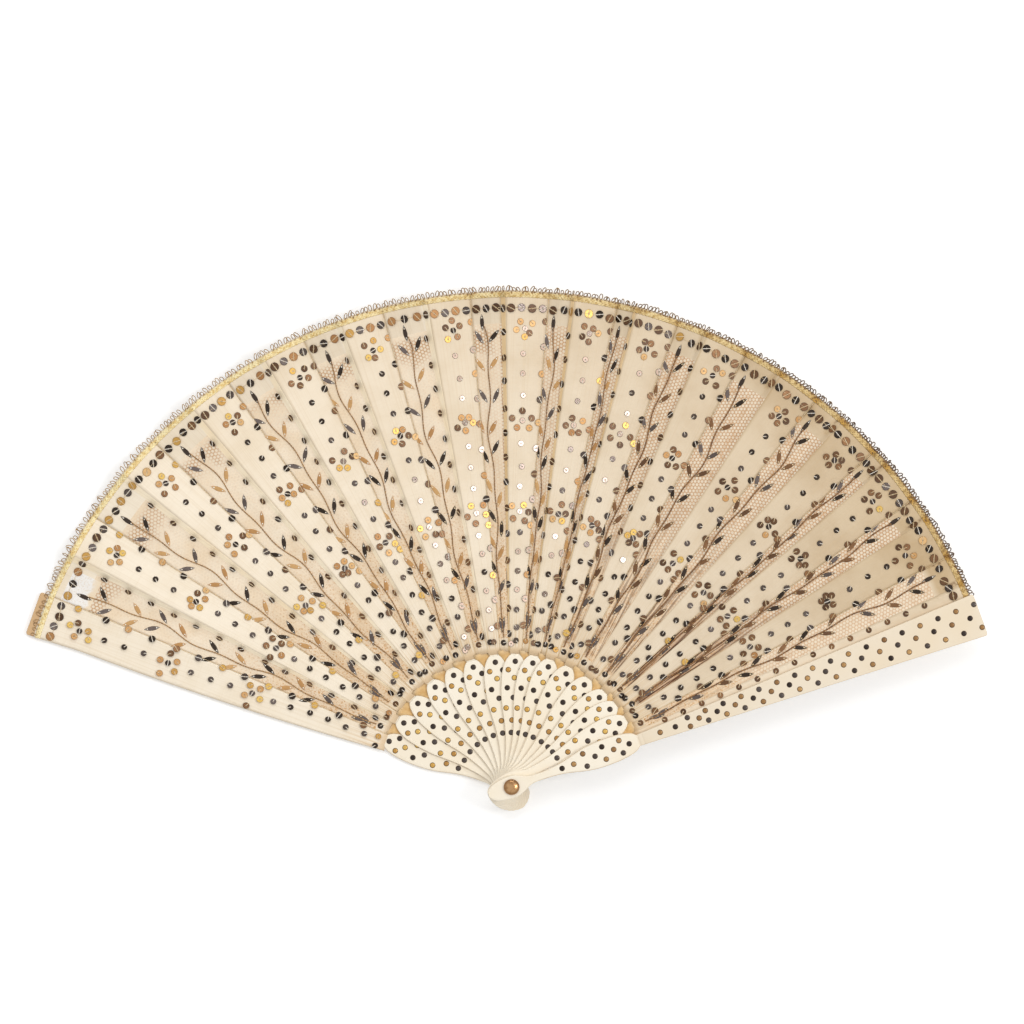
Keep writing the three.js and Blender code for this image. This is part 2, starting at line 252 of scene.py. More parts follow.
# %% [markdown]
# ## Meshes
# Most pieces here are made of many small closed shapes: hundreds of sequins, loops of wire, strands of
# braid. Joining objects with operators is slow, so a pile gathers points and faces in lists and becomes
# one mesh at the end. It also keeps cloth coordinates, and how far each point follows the next stick.

# %% Piles of small shapes
class Pile:
    """Shapes that become one mesh, with a finish, cloth coordinates, a tone of age and painted shade, and a fold
    weight for each point.
    """

    def __init__(self):
        self.points, self.faces, self.slots, self.smooth = [], [], [], []
        self.lay, self.age, self.weights = [], [], []

    def add(self, points, faces, slot=0, lay=None, age=0.0, weight=0.0, smooth=True):
        first, count = len(self.points), len(points)
        self.points.extend(points)
        self.smooth.extend([smooth] * len(faces))
        self.faces.extend([[first + corner for corner in face] for face in faces])
        self.slots.extend(slot if isinstance(slot, list) else [slot] * len(faces))
        self.lay.extend(lay or [(0.0, 0.0)] * count)
        self.age.extend(age if isinstance(age, list) else [age] * count)
        self.weights.extend(weight if isinstance(weight, list) else [weight] * count)

    def build(self, name, finishes):
        mesh = bpy.data.meshes.new(name)
        mesh.from_pydata([tuple(point) for point in self.points], [], self.faces)
        for finish in finishes:
            mesh.materials.append(finish)
        mesh.polygons.foreach_set("material_index", self.slots)
        mesh.polygons.foreach_set("use_smooth", self.smooth)
        corners = np.zeros(len(mesh.loops), np.int32)
        mesh.loops.foreach_get("vertex_index", corners)
        lay = np.array(self.lay, np.float32)[corners]
        mesh.uv_layers.new(name="lay").data.foreach_set("uv", lay.ravel())
        mesh.attributes.new("age", "FLOAT", "POINT").data.foreach_set("value", self.age)
        mesh.update()
        piece = bpy.data.objects.new(name, mesh)
        bpy.context.scene.collection.objects.link(piece)
        return piece


print("a pile keeps:", list(vars(Pile())))

# %% [markdown]
# Three small helpers go with the piles. Closed shapes need their faces turned outwards, which Blender's own
# mesh library does. A grid of points needs quads between its rows. Round things need equal turns.

# %% Helpers for meshes
def face_outwards(piece):
    """Turns the faces of closed shapes outwards."""
    work = bmesh.new()
    work.from_mesh(piece.data)
    bmesh.ops.recalc_face_normals(work, faces=work.faces)
    work.to_mesh(piece.data)
    work.free()


def turns_round(sides):
    """Equal turns round a circle, in radians."""
    return [2 * math.pi * side / sides for side in range(sides)]


def strip_faces(rows, columns, closed=False):
    """Quads of a grid of rows by columns of points, closed round each row if asked."""
    spans = columns if closed else columns - 1
    return [
        [row * columns + col, row * columns + (col + 1) % columns,
         (row + 1) * columns + (col + 1) % columns, (row + 1) * columns + col]
        for row in range(rows - 1)
        for col in range(spans)
    ]


print("faces of a grid of 3 by 4 points:", len(strip_faces(3, 4)))

# %% [markdown]
# ## Bone sticks
# A stick is sawn from bone: a round head at the rivet, a narrow neck, a blade with a round end, and then
# a thin rib under the leaf. Extruding an outline would give flat walls and hard edges, and could not
# twist. So we loft it: cut it across many times, and join the cuts. Each cut is a slab with rounded
# corners, and the rib's cuts lean with the pleat that they carry.

# %% Outline of a handle
HEAD_REACH = 10.3 * MM
HEADS_SHORTER_BY = {0: 1.8 * MM, 1: 1.2 * MM, 2: 0.6 * MM}
HEAD_WIDTH = 9.2 * MM
HOLE_ASIDE = 1.4 * MM
NECK_AT = 11 * MM
NECK_WIDTH = 3.8 * MM
BLADE_WIDTH = 10.8 * MM
BLADE_WIDEST_AT = 45 * MM
BLADE_REACH = 56 * MM
BLADE_THICKNESS = STICK_PITCH - STICK_GAP
HEAD_HANDLES = (0.65, 0.6)
NECK_HANDLES = (0.45, 0.55)
SWELL_HANDLE = 0.55
CROWN_HANDLES = (0.58, 0.6)
OUTLINE_STEPS = 14
CROWN_STEPS = 30


def bezier(start, handle, other_handle, end, steps=OUTLINE_STEPS):
    """Points of a curve after its start."""
    corners = [Vector(point) for point in (start, handle, other_handle, end)]
    shares = [step / steps for step in range(1, steps + 1)]
    return [
        corners[0] * (1 - t) ** 3 + corners[1] * 3 * t * (1 - t) ** 2
        + corners[2] * 3 * t * t * (1 - t) + corners[3] * t**3
        for t in shares
    ]


def handle_side(member, neck_width, blade_width, widest_at):
    """Half-width and distance from the rivet, from the end of the head to the widest place."""
    head, neck, blade = HEAD_WIDTH / 2, neck_width / 2, blade_width / 2
    reach = HEAD_REACH - HEADS_SHORTER_BY.get(member, 0)
    wide, low = head * HEAD_HANDLES[0], -reach * HEAD_HANDLES[1]
    leave, arrive = [NECK_AT * share for share in NECK_HANDLES]
    swell = NECK_AT + (widest_at - NECK_AT) * SWELL_HANDLE
    side = bezier((0, -reach), (wide, -reach), (head, low), (head, 0))
    side += bezier((head, 0), (head, leave), (neck, arrive), (neck, NECK_AT))
    side += bezier((neck, NECK_AT), (neck, swell), (blade, swell), (blade, widest_at))
    return side


def slant(member, along):
    """How far a handle's middle line lies left of the line through the rivet."""
    return 0.0 if member == FRONT else HOLE_ASIDE * max(0.0, 1 - along / BLADE_REACH)


def stick_side(member):
    """The whole blade's side, up to where the rib takes over."""
    half = BLADE_WIDTH / 2
    crown = BLADE_WIDEST_AT + (BLADE_REACH - BLADE_WIDEST_AT) * CROWN_HANDLES[0]
    top = half * CROWN_HANDLES[1]
    end = bezier((half, BLADE_WIDEST_AT), (half, crown), (top, BLADE_REACH), (0, BLADE_REACH), CROWN_STEPS)
    return handle_side(member, NECK_WIDTH, BLADE_WIDTH, BLADE_WIDEST_AT) + end


print("points on a stick's side:", len(stick_side(1)))

# %% [markdown]
# The pleats are one rule for sticks and cloth alike. A strip of silk rises to its left edge and drops to
# its right edge, more so towards the hem. Neighbours differ by a small step only, which lets the strips
# nest when the fan is shut. The rib under a strip leans the same way.

# %% Pleats
LEAF_FOOT = 56.6 * MM
LEAF_REACH = 208 * MM
RIB_REACH = 204 * MM
RIB_WIDTH_AT_BLADE = 4.4 * MM
RIB_WIDTH_AT_TIP = 3 * MM
RIB_THICKNESS = 0.4 * MM
SILK_HALF = math.radians(5.1) / 2
LAST_SILK_SHIFT = math.radians(1.45)
PLEAT_HEIGHT = 3.6 * MM
PLEAT_STEP = 0.42 * MM


def pleat_height(member, members_left):
    return 0.0 if member in (0, FRONT) else min(PLEAT_HEIGHT, PLEAT_STEP * members_left)


def lean(member, radius, share):
    """Height above the stick's own level, at a share from -1, the left edge, to 1, the right edge."""
    rise, drop = pleat_height(member, FRONT - member), pleat_height(member, member)
    growth = max(0.0, radius - LEAF_FOOT) / (LEAF_REACH - LEAF_FOOT)
    return growth * ((rise - drop) / 2 - share * (rise + drop) / 2)


def rib_half(radius):
    along = (radius - BLADE_WIDEST_AT) / (RIB_REACH - BLADE_WIDEST_AT)
    return (RIB_WIDTH_AT_BLADE + (RIB_WIDTH_AT_TIP - RIB_WIDTH_AT_BLADE) * along) / 2


tallest = max(lean(member, LEAF_REACH, -1) for member in range(FRONT))
print("tallest pleat, mm:", round(tallest / MM, 2))

# %% [markdown]
# Two helpers carry the loft: `slab` draws one cut, a flat bar with rounded corners, and `loft` joins cuts
# that have the same number of points. Blender can bridge loops by an operator too, but with lists of our own
# every point keeps a known place, which the tones need. The quads run in rows along the stick, so the
# shading stays even.

# %% Lofted bone
EDGE_ROUND = 0.2 * MM
GUARD_ROUND = 0.5 * MM
MOST_OF_HALF, MOST_OF_HEIGHT = 0.8, 0.45
CORNER_CUT = 0.3
FACE_STATIONS = (-0.8, -0.35, 0.35, 0.8)


def slab(half, along, low, high, round_edge, shift=0.0):
    """One cut across a stick: points of a flat bar with rounded corners, seen along the stick."""
    edge = min(round_edge, half * MOST_OF_HALF, (high - low) * MOST_OF_HEIGHT)
    soft = edge * CORNER_CUT
    flat = half - edge
    upper = [(-half, high - edge), (-half + soft, high - soft), (-flat, high)]
    upper += [(flat * station, high) for station in FACE_STATIONS]
    upper += [(flat, high), (half - soft, high - soft), (half, high - edge)]
    lower = [(x, low + high - z) for x, z in reversed(upper)]
    return [Vector((x - shift, along, z)) for x, z in upper + lower]


def loft(cuts):
    """A closed body through cuts with the same number of points."""
    count = len(cuts[0])
    faces = strip_faces(len(cuts), count, closed=True)
    faces.append(list(range(count)))
    faces.append([(len(cuts) - 1) * count + corner for corner in range(count)])
    return [point for cut in cuts for point in cut], faces


print("cut of", len(slab(BLADE_WIDTH / 2, 0, 0, BLADE_THICKNESS, EDGE_ROUND)), "points")

# %% [markdown]
# A member is lofted along +Y at height 0, and one matrix takes it to its direction and level in the fan. Each
# point stores a tone, highest on the edges, where tan is painted as the shade between stacked sticks. The
# grain starts at a different place for each member, so that no two have the same streaks.

# %% Bone pieces
GRAIN_APART = 0.1
# Tan across a cut, highest on the sides: painted shade where the sticks lie on each other, less at the head.
STICK_EDGE_SHADE = 2 * [1.0, 0.7, 0.1, 0.0, 0.0, 0.0, 0.0, 0.1, 0.7, 1.0]
HEAD_EDGE_SHADE = 0.15


def turned(member):
    """Takes a stick that lies along +Y at height 0 to its place in the fan."""
    turn = Matrix.Rotation(ANGLES[member] - math.pi / 2, 4, "Z")
    return Matrix.Translation((0, 0, LEVELS[member])) @ turn


def bone_piece(name, cuts, tanned, member, finish):
    """A lofted member. Its edges are painted tan, as shade between the sticks, less so at the head, and each cut
    has a tone of its own.
    """
    points, faces = loft(cuts)
    tan = []
    for cut, tone in zip(cuts, tanned):
        depth = HEAD_EDGE_SHADE if cut[0].y < NECK_AT else 1.0
        tan += [max(edge * depth, tone) for edge in STICK_EDGE_SHADE]
    pile = Pile()
    place = turned(member)
    lay = [(point.y, point.x + member * GRAIN_APART) for point in points]
    pile.add([place @ point for point in points], faces, lay=lay, age=tan)
    piece = pile.build(name, [finish])
    face_outwards(piece)
    piece.modifiers.new("even shading", "WEIGHTED_NORMAL")
    return piece


print("first stick is turned by, degrees:", round(math.degrees(turned(1).to_euler().z), 1))

# %% [markdown]
# Bone is cream, a little yellow with the years, with fine grey-tan streaks along its length. A noise that is
# stretched along the stick gives the streaks, a slow one gives the yellowing, and a faint bump keeps the
# polish from looking like plastic. The tone that each point stores turns it tan: on the edges of the sticks this
# is painted shade. A stored tone above 1, at the tip of the rear guard, is a brown stain.

# %% Bone finish
def bone_finish():
    bone = Finish("bone")
    cream, yellowed, streaked = linear(249, 239, 220), linear(246, 232, 207), linear(222, 200, 164)
    # edge_shade_and_tan: painted shade on the sticks' edges, and the guards' own tan
    edge_shade_and_tan, stained = linear(207, 180, 142), linear(216, 164, 104)
    streaks = bone.noise(1.0, 4.0, bone.stretched(60, 2600))
    fibres = bone.noise(1.0, 2.0, bone.stretched(220, 9000))
    cloud = bone.noise(38.0, 3.0)
    clouded = bone.mix(cloud.between(0.35, 0.75), cream, yellowed)
    tan = streaks.between(0.58, 0.8) * 0.3 + fibres.between(0.6, 0.8) * 0.1
    grained = bone.mix(tan, clouded, streaked)
    age = bone.age()
    worn = bone.mix(age * 0.7, grained, edge_shade_and_tan)
    colour = bone.mix(age.between(1.0, 1.5) * 0.42, worn, stained)
    relief = bone.bump(streaks + fibres * 0.5, 0.12, 0.0002)
    gloss = 0.36 + cloud * 0.2
    return bone.surface(Base_Color=colour, Roughness=gloss, Normal=relief, Coat_Weight=0.08)


BONE = bone_finish()
print("finish:", BONE.name)

# %% [markdown]
# A stick's cuts follow the blade's outline until it is as narrow as the rib, and then the rib to the hem. A
# rib's cuts are lifted by the pleat's rule, which gives it the twist that carries the leaf. Each stick rides
# on its own body and stands for the plain solid of the same name.

# %% Sticks
RIB_CUTS = 26
LEAST_HALF = 0.2 * MM


def stick_cuts(member):
    cuts = []
    for side in stick_side(member):
        if side.y > BLADE_WIDEST_AT and side.x < rib_half(side.y):
            break
        half = max(side.x, LEAST_HALF)
        cuts.append(slab(half, side.y, 0, BLADE_THICKNESS, EDGE_ROUND, slant(member, side.y)))
        blade_end = side.y
    for step in range(RIB_CUTS + 1):
        along = blade_end + (RIB_REACH - blade_end) * step / RIB_CUTS
        cut = slab(rib_half(along), along, 0, RIB_THICKNESS, EDGE_ROUND)
        for point in cut:
            point.z += lean(member, along, point.x / (along * SILK_HALF))
        cuts.append(cut)
    return cuts


for member in range(1, FRONT):
    cuts = stick_cuts(member)
    stick = bone_piece(MEMBERS[member] + "_bone", cuts, [0.0] * len(cuts), member, BONE)
    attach(stick, MEMBERS[member])
    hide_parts(MEMBERS[member])
print("sticks:", FRONT - 1)

# %% [markdown]
# A guard is a thicker stick on the outside. It has a fuller lobe, a collar, and a blade that widens with the
# sector of leaf that it covers. The rear guard of this fan is bowed: its outer side swells by a few
# millimetres along the middle, and the silk that is pasted on it does the same.

# %% Outline of a guard
GUARD_NECK_WIDTH = 3.2 * MM
GUARD_LOBE_WIDTH = 11.2 * MM
LOBE_WIDEST_AT = 42 * MM
LOBE_HANDLES = (0.62, 0.93)
COLLAR_LIP = 0.4 * MM
WEDGE_HALF = math.radians(5.04) / 2
BOW_WIDTH, BOW_WIDEST_AT, BOW_END_AT = 2.7 * MM, 100 * MM, 190 * MM


def bow(member, radius):
    """How far the rear guard and its silk reach out beyond their sector, on the outer side."""
    away = (radius - BOW_WIDEST_AT) / (BOW_END_AT - BOW_WIDEST_AT)
    return BOW_WIDTH * max(0.0, 1 - away * away) if member == 0 else 0.0


def lobe_side(member):
    half = GUARD_LOBE_WIDTH / 2
    collar = BLADE_REACH * math.tan(WEDGE_HALF) + COLLAR_LIP
    fall = BLADE_REACH - LOBE_WIDEST_AT
    bend, shoulder = [LOBE_WIDEST_AT + fall * share for share in LOBE_HANDLES]
    end = bezier((half, LOBE_WIDEST_AT), (half, bend), ((half + collar) / 2, shoulder), (collar, BLADE_REACH))
    return handle_side(member, GUARD_NECK_WIDTH, GUARD_LOBE_WIDTH, LOBE_WIDEST_AT) + end


print("widest bow, mm:", round(bow(0, BOW_WIDEST_AT) / MM, 2))

# %% [markdown]
# The same loft makes the guards. A line that is cut into the collar is three cuts close together, the middle
# one lower. The tip is rounded by four cuts that draw in. Silk is pasted on the rear guard's upper face and
# under the front guard, so both blades are thinner there by the silk and its paste.

# %% Guards
COLLAR_LINES = (56.8 * MM, 58.8 * MM)
LINE_DEPTH = 0.3 * MM
PASTED_SILK = 0.25 * MM
GUARD_REACH = {0: 214 * MM, FRONT: 209 * MM}
BLADE_CUTS = 24
BLADE_ROUND = GUARD_ROUND * 0.6
TIP_STATIONS = (LEAF_REACH - 2 * MM, LEAF_REACH - 1 * MM)
TIP_TONE_FROM = LEAF_REACH - 1.5 * MM
TIP_ROUND = 1.0 * MM
TIP_TURNS = (0, 30, 60, 90)
HANDLE_TONE, LINE_TONE = 0.05, 0.6
GUARD_TONE = {0: 0.05, FRONT: 0.5}
TIP_TONE = {0: 1.5, FRONT: 0.45}


def guard_cuts(member):
    """The cuts of a guard, and how tan some of them are."""
    reach = GUARD_REACH[member]
    low = PASTED_SILK if member == FRONT else 0.0
    high = GUARD_THICKNESS - (0.0 if member == FRONT else PASTED_SILK)
    cuts = []
    for side in lobe_side(member):
        half = max(side.x, LEAST_HALF)
        cuts.append(slab(half, side.y, 0, GUARD_THICKNESS, GUARD_ROUND, slant(member, side.y)))
    tanned = [HANDLE_TONE] * len(cuts)
    blade = reach - TIP_ROUND - BLADE_REACH
    stations = [(BLADE_REACH + blade * n / BLADE_CUTS, 0) for n in range(1, BLADE_CUTS)]
    for line in COLLAR_LINES:
        stations += [(line - LINE_DEPTH, 0), (line, LINE_DEPTH), (line + LINE_DEPTH, 0)]
    stations += [(station, 0) for station in TIP_STATIONS]
    for along, depth in sorted(stations):
        aside = bow(member, along) / 2
        half = along * math.tan(WEDGE_HALF) + aside
        bottom = low + (depth if member == 0 else 0)
        top = high - (depth if member == FRONT else 0)
        tone = TIP_TONE[member] if along > TIP_TONE_FROM else GUARD_TONE[member]
        tanned.append(LINE_TONE if depth else tone)
        cuts.append(slab(half, along, bottom, top, BLADE_ROUND, aside))
    for turn in TIP_TURNS:
        back = TIP_ROUND * (1 - math.sin(math.radians(turn)))
        inset = TIP_ROUND * (1 - math.cos(math.radians(turn)))
        half = reach * math.tan(WEDGE_HALF) - inset
        tanned.append(TIP_TONE[member])
        cuts.append(slab(half, reach - back, low, high, BLADE_ROUND))
    return cuts, tanned


for member in (0, FRONT):
    cuts, tanned = guard_cuts(member)
    guard = bone_piece(MEMBERS[member] + "_bone", cuts, tanned, member, BONE)
    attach(guard, MEMBERS[member])
    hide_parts(MEMBERS[member])
    print(guard.name, "points:", len(guard.data.vertices))

# %% [markdown]
# ## Metal dots in the bone
# The blades are set with short metal pins, filed almost flush: dark steel and gold in turn, on a small
# lattice along each stick. They are too big to be a texture, since light catches their edges, so each is a
# small mesh. The finish draws a tone for each of them from the number that Cycles gives to every island of
# a mesh, and darkens the rim as painted shade.

# %% Metal finishes
RIM_SHADE = 0.6


def metal_finish(name, tones, roughness, metallic):
    """Metal whose tone is drawn afresh for each dot or sequin, with painted shade on the rim."""
    metal = Finish(name)
    each = metal.node("NewGeometry", output="Random Per Island")
    cloud = metal.noise(900.0, 2.0)
    stops = [(n / (len(tones) - 1), linear(*tone)) for n, tone in enumerate(tones)]
    tone = metal.node("ValToRGB", {"stops": stops}, {"Fac": each})
    shade = metal.mix(cloud.between(0.4, 0.75) * 0.3, tone, linear(*tones[0]))
    out, _ = metal.lay()
    # painted shade on the rim: a darker copy of the darkest tone, so a dot or sequin looks domed
    painted_shade = linear(*[RIM_SHADE * part for part in tones[0]])
    rimmed = metal.mix(out.between(0.74, 0.98) * 0.5, shade, painted_shade)
    return metal.surface(
        Base_Color=rimmed, Metallic=metallic, Roughness=roughness + cloud * 0.08,
        Normal=metal.bump(cloud, 0.03, 0.0001),
    )


STEEL_DOT = metal_finish("steel_dots", [(56, 48, 44), (74, 65, 60), (108, 99, 94)], 0.3, 0.8)
GOLD_DOT = metal_finish("gold_dots", [(188, 138, 76), (226, 178, 92), (246, 206, 116)], 0.28, 0.5)
# A duller copy of the gold for the front guard: painted shade, for dots that catch no highlight there.
SHADED_GOLD_DOT = metal_finish("gold_dots_painted_shade", [(140, 102, 64), (172, 130, 81), (208, 164, 106)], 0.32, 0.45)
SOCKET = metal_finish("dot_sockets", [(110, 84, 58), (136, 106, 74)], 0.5, 0.2)
print("finishes:", STEEL_DOT.name, GOLD_DOT.name, SHADED_GOLD_DOT.name, SOCKET.name)

# %% [markdown]
# A dot is a low dome in a rim. We could flatten half a sphere, but it would have no rim, so a few rings are
# turned and the top is closed with triangles.

# %% Shape of a dot
DOT_RADIUS = 1.2 * MM
DOT_RISE = 0.14 * MM
DOT_SIDES = 14
DOME_RINGS = [(1.0, -0.6), (1.0, 0.15), (0.84, 0.2), (0.78, 0.7), (0.45, 0.95)]
RIM_LAY = 1.25


def dome(radius, rise, sides):
    """A low dome in a dark rim, closed underneath. The last value says which faces are rim."""
    points = [
        Vector((radius * share * math.cos(turn), radius * share * math.sin(turn), rise * height))
        for share, height in DOME_RINGS
        for turn in turns_round(sides)
    ]
    faces = strip_faces(len(DOME_RINGS), sides, closed=True)
    points.append(Vector((0, 0, rise)))
    top = (len(DOME_RINGS) - 1) * sides
    faces += [[top + side, top + (side + 1) % sides, len(points) - 1] for side in range(sides)]
    faces.append(list(reversed(range(sides))))
    in_rim = [n < 2 * sides or n == len(faces) - 1 for n in range(len(faces))]
    lay = [(RIM_LAY * share, 0.0) for share, _ in DOME_RINGS for _ in range(sides)]
    return points, faces, [*lay, (0.0, 0.0)], in_rim


print("points in a dot:", len(dome(DOT_RADIUS, DOT_RISE, DOT_SIDES)[0]))

# %% [markdown]
# The lattice is a short list: the distance from the rivet in millimetres, the side (left, middle or right)
# and the metal. All sticks share it, as if drilled together, and a stick's dots ride on that stick.

# %% Dots on the blades
STEEL, GOLD, RIM = 0, 1, 2
DOT_LATERAL = 2.75 * MM
STICK_DOTS = [(52.4, 0, STEEL), (45.5, 0, GOLD), (37.2, 0, STEEL), (27.7, 0, GOLD), (22.5, 0, STEEL)]
for along, left, right in ((48.8, GOLD, STEEL), (41.2, STEEL, GOLD), (32.7, GOLD, STEEL)):
    STICK_DOTS += [(along, -1, left), (along, 1, right)]


def set_dots(name, member, spots, height, facing=1, gold=GOLD_DOT):
    """Dots at (distance, sideways, metal) on a member, at a height above its level."""
    pile = Pile()
    points, faces, lay, in_rim = dome(DOT_RADIUS, DOT_RISE, DOT_SIDES)
    flip = Matrix.Diagonal((1, 1, facing, 1))
    for along, sideways, metal in spots:
        across = sideways - slant(member, along)
        place = turned(member) @ Matrix.Translation((across, along, height)) @ flip
        slots = [RIM if rim else metal for rim in in_rim]
        pile.add([place @ point for point in points], faces, slots, lay)
    piece = pile.build(name, [STEEL_DOT, gold, SOCKET])
    face_outwards(piece)
    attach(piece, MEMBERS[member])
    return piece


def lattice(scale=1.0):
    return [(along * MM * scale, side * DOT_LATERAL, metal) for along, side, metal in STICK_DOTS]


for member in range(1, FRONT):
    set_dots(MEMBERS[member] + "_dots", member, lattice(), BLADE_THICKNESS)
print("dots on a stick:", len(STICK_DOTS))

# %% [markdown]
# The outer face of a guard has three rows of dots all along its blade, and the sticks' lattice on its lobe.
# The rear guard lies on its outer face, so those dots look down. On its inner face only the lobe shows, and
# there the lattice is a little longer.

# %% Dots on the guards
COLLAR_DOTS = ((66.2 * MM, GOLD), (73 * MM, STEEL))
BLADE_DOT_START = 79 * MM
BLADE_DOT_STEP = 8.05 * MM
BLADE_DOT_ROWS = 17
LEFT_ROW, RIGHT_ROW = math.radians(1.35), math.radians(1.45)
MIDDLE_ROW_AFTER = 0.57
REAR_LATTICE_SCALE = 1.045
BACK_DOT_LEVEL = 0.07 * MM


def guard_blade_dots():
    """Three rows along a guard's blade, with the metals in turn."""
    spots = [(along, 0, metal) for along, metal in COLLAR_DOTS]
    for row in range(BLADE_DOT_ROWS):
        along = BLADE_DOT_START + row * BLADE_DOT_STEP
        metal, other = (STEEL, GOLD) if row % 2 == 0 else (GOLD, STEEL)
        spots += [(along, -along * LEFT_ROW, metal), (along, along * RIGHT_ROW, other)]
        if row < BLADE_DOT_ROWS - 1:
            spots.append((along + BLADE_DOT_STEP * MIDDLE_ROW_AFTER, 0, other))
    return spots


front_dots = [*lattice(), *guard_blade_dots()]
# The front guard's gold dots take the duller copy, painted shade.
set_dots("front_guard_dots", FRONT, front_dots, GUARD_THICKNESS, gold=SHADED_GOLD_DOT)
set_dots("rear_guard_dots", 0, lattice(REAR_LATTICE_SCALE), GUARD_THICKNESS)
set_dots("rear_guard_back_dots", 0, front_dots, BACK_DOT_LEVEL, facing=-1)
print("dots on a guard's outer face:", len(front_dots))

# %% [markdown]
# ## The leaf's surfaces
# Silk strips lie on the sticks, and net strips hang between them. First come the rules that both share: how
# high the silk lies, how slack the cloth is, and where the hem runs. The hem of this fan isn't a circle
# round the rivet: on the left it runs a little further out, so the outer part of those strips is drawn out.

# %% Heights, slack and hem
SILK_THICKNESS = 0.15 * MM
SEAT_GAP = 0.05 * MM
RIPPLE_LENGTHS = (9 * MM, 5.2 * MM, 21 * MM)
SLACK_FROM = 30 * MM
HEM_EXTRA = 2.8 * MM
HEM_EXTRA_FROM = math.radians(95)
DRAWN_FROM, DRAWN_TO = 185 * MM, 202 * MM
dice = random.Random(7)
PHASES = [[dice.uniform(0, 2 * math.pi) for _ in range(4)] for _ in range(FRONT + 1)]


def hem_extra(member):
    """How much further out the hem runs here: it lies off the rivet's centre, towards the rear guard."""
    share = (ANGLES[member] - HEM_EXTRA_FROM) / (ANGLES[0] - HEM_EXTRA_FROM)
    return HEM_EXTRA * min(1.0, max(0.0, share))


def drawn_out(radius, extra):
    """The same distance from the rivet after the hem is drawn out."""
    return radius + extra * min(1.0, max(0.0, (radius - DRAWN_FROM) / (DRAWN_TO - DRAWN_FROM)))


def silk_seat(member):
    if member == 0:
        return GUARD_THICKNESS - PASTED_SILK + SEAT_GAP
    return SEAT_GAP if member == FRONT else RIB_THICKNESS + SEAT_GAP


def polar(radius, angle, height):
    return Vector((radius * math.cos(angle), radius * math.sin(angle), height))


def silk_height(member, radius, share):
    return LEVELS[member] + silk_seat(member) + SILK_THICKNESS + lean(member, radius, share)


def ripple(member, radius, share, size):
    """Small slack in the cloth, none at the foot of the leaf."""
    first, second, third, fourth = PHASES[member]
    medium, short, long = RIPPLE_LENGTHS
    waves = math.sin(radius / medium + first + 1.3 * share)
    waves += math.sin(radius / short + second - 2.1 * share)
    waves += 1.4 * math.sin(radius / long + third) * math.sin(2.6 * share + fourth)
    return size * waves * min(1.0, (radius - LEAF_FOOT) / SLACK_FROM)


print("hem further out, mm:", [round(hem_extra(member) / MM, 1) for member in range(FRONT + 1)])

# %% [markdown]
# Everything on the leaf, from hem to sequins, has to lie on its cloth, so each strip is a function that turns
# a distance from the rivet and a share of the width into a point. A silk strip's share runs from -1, its left
# edge, to 1. The silk on the guards is pasted flat and has no slack.

# %% Silk as a function
SILK_SLACK = 0.05 * MM


def silk_surface(member):
    shift = LAST_SILK_SHIFT if member == FRONT else 0.0
    slack = 0.0 if member in (0, FRONT) else SILK_SLACK

    def at(radius, share, lift=0.0):
        height = silk_height(member, radius, share) + ripple(member, radius, share, slack) + lift
        half = SILK_HALF + (bow(member, radius) / radius if share < 0 else 0.0)
        return polar(drawn_out(radius, hem_extra(member)), ANGLES[member] - share * half + shift, height)

    return at


print("height of the second strip at the hem, mm:", round(silk_surface(1)(LEAF_REACH, -1).z / MM, 2))

# %% [markdown]
# A net's share runs from 0, at the strip on its left, to 1. It lies low, and then climbs steeply to the next
# fold. The share that a point reaches in the shut fan gives its height, so that it has room there too, and
# also says how far the point follows the next stick.

# %% Net as a function
CLIMB_AT_OPEN = 0.88
CLIMB_AT_SHUT = 0.72
NET_SLACK = 0.09 * MM


def shut_share(share):
    """Where a point of a net strip lies across the shut fan."""
    if share < CLIMB_AT_OPEN:
        return CLIMB_AT_SHUT * share / CLIMB_AT_OPEN
    return CLIMB_AT_SHUT + (1 - CLIMB_AT_SHUT) * (share - CLIMB_AT_OPEN) / (1 - CLIMB_AT_OPEN)


def net_span(member):
    """The angles where a net strip starts and ends."""
    shift = LAST_SILK_SHIFT if member + 1 == FRONT else 0.0
    return ANGLES[member] - SILK_HALF, ANGLES[member + 1] + SILK_HALF + shift


def net_surface(member):
    start, end = net_span(member)

    def at(radius, share, lift=0.0):
        shut = shut_share(share)
        low = silk_height(member, radius, 1 - 2 * shut)
        high = silk_height(member + 1, radius, 1 - 2 * shut)
        slack = ripple(member, radius, 4 * share, NET_SLACK) * math.sin(math.pi * share)
        extra = hem_extra(member) * (1 - share) + hem_extra(member + 1) * share
        out = drawn_out(radius, extra)
        return polar(out, start + (end - start) * share, low + (high - low) * shut + slack + lift)

    return at


def net_weight(member, share):
    """How far a point of a net strip follows the next stick as the fan shuts."""
    start, end = net_span(member)
    shut = shut_share(share)
    return shut + (share - shut) * (start - end) / OPENING[member]


print("widest net, degrees:", round(max(math.degrees(a - b) for a, b in map(net_span, range(FRONT))), 2))

# %% [markdown]
# Silk is a plain weave with a soft shine. Its threads are finer than a pixel here, so what shows is the
# streak of uneven warp threads along each strip, slow stains of age, and a tan tone at the folds, which is
# painted shade. The strips further right are more tanned, partly with age and partly as painted shade of
# pleats that turn away from the light, and the tone that the mesh stores carries both. Foxing browns the
# gorge, the leaf's narrow part near the blades. A stored tone above 1 gives the dark blots at the hem's folds.

# %% Silk finish
GORGE = (60 * MM, 82 * MM)
FOOT_STAIN = (57.2 * MM, 59.8 * MM)


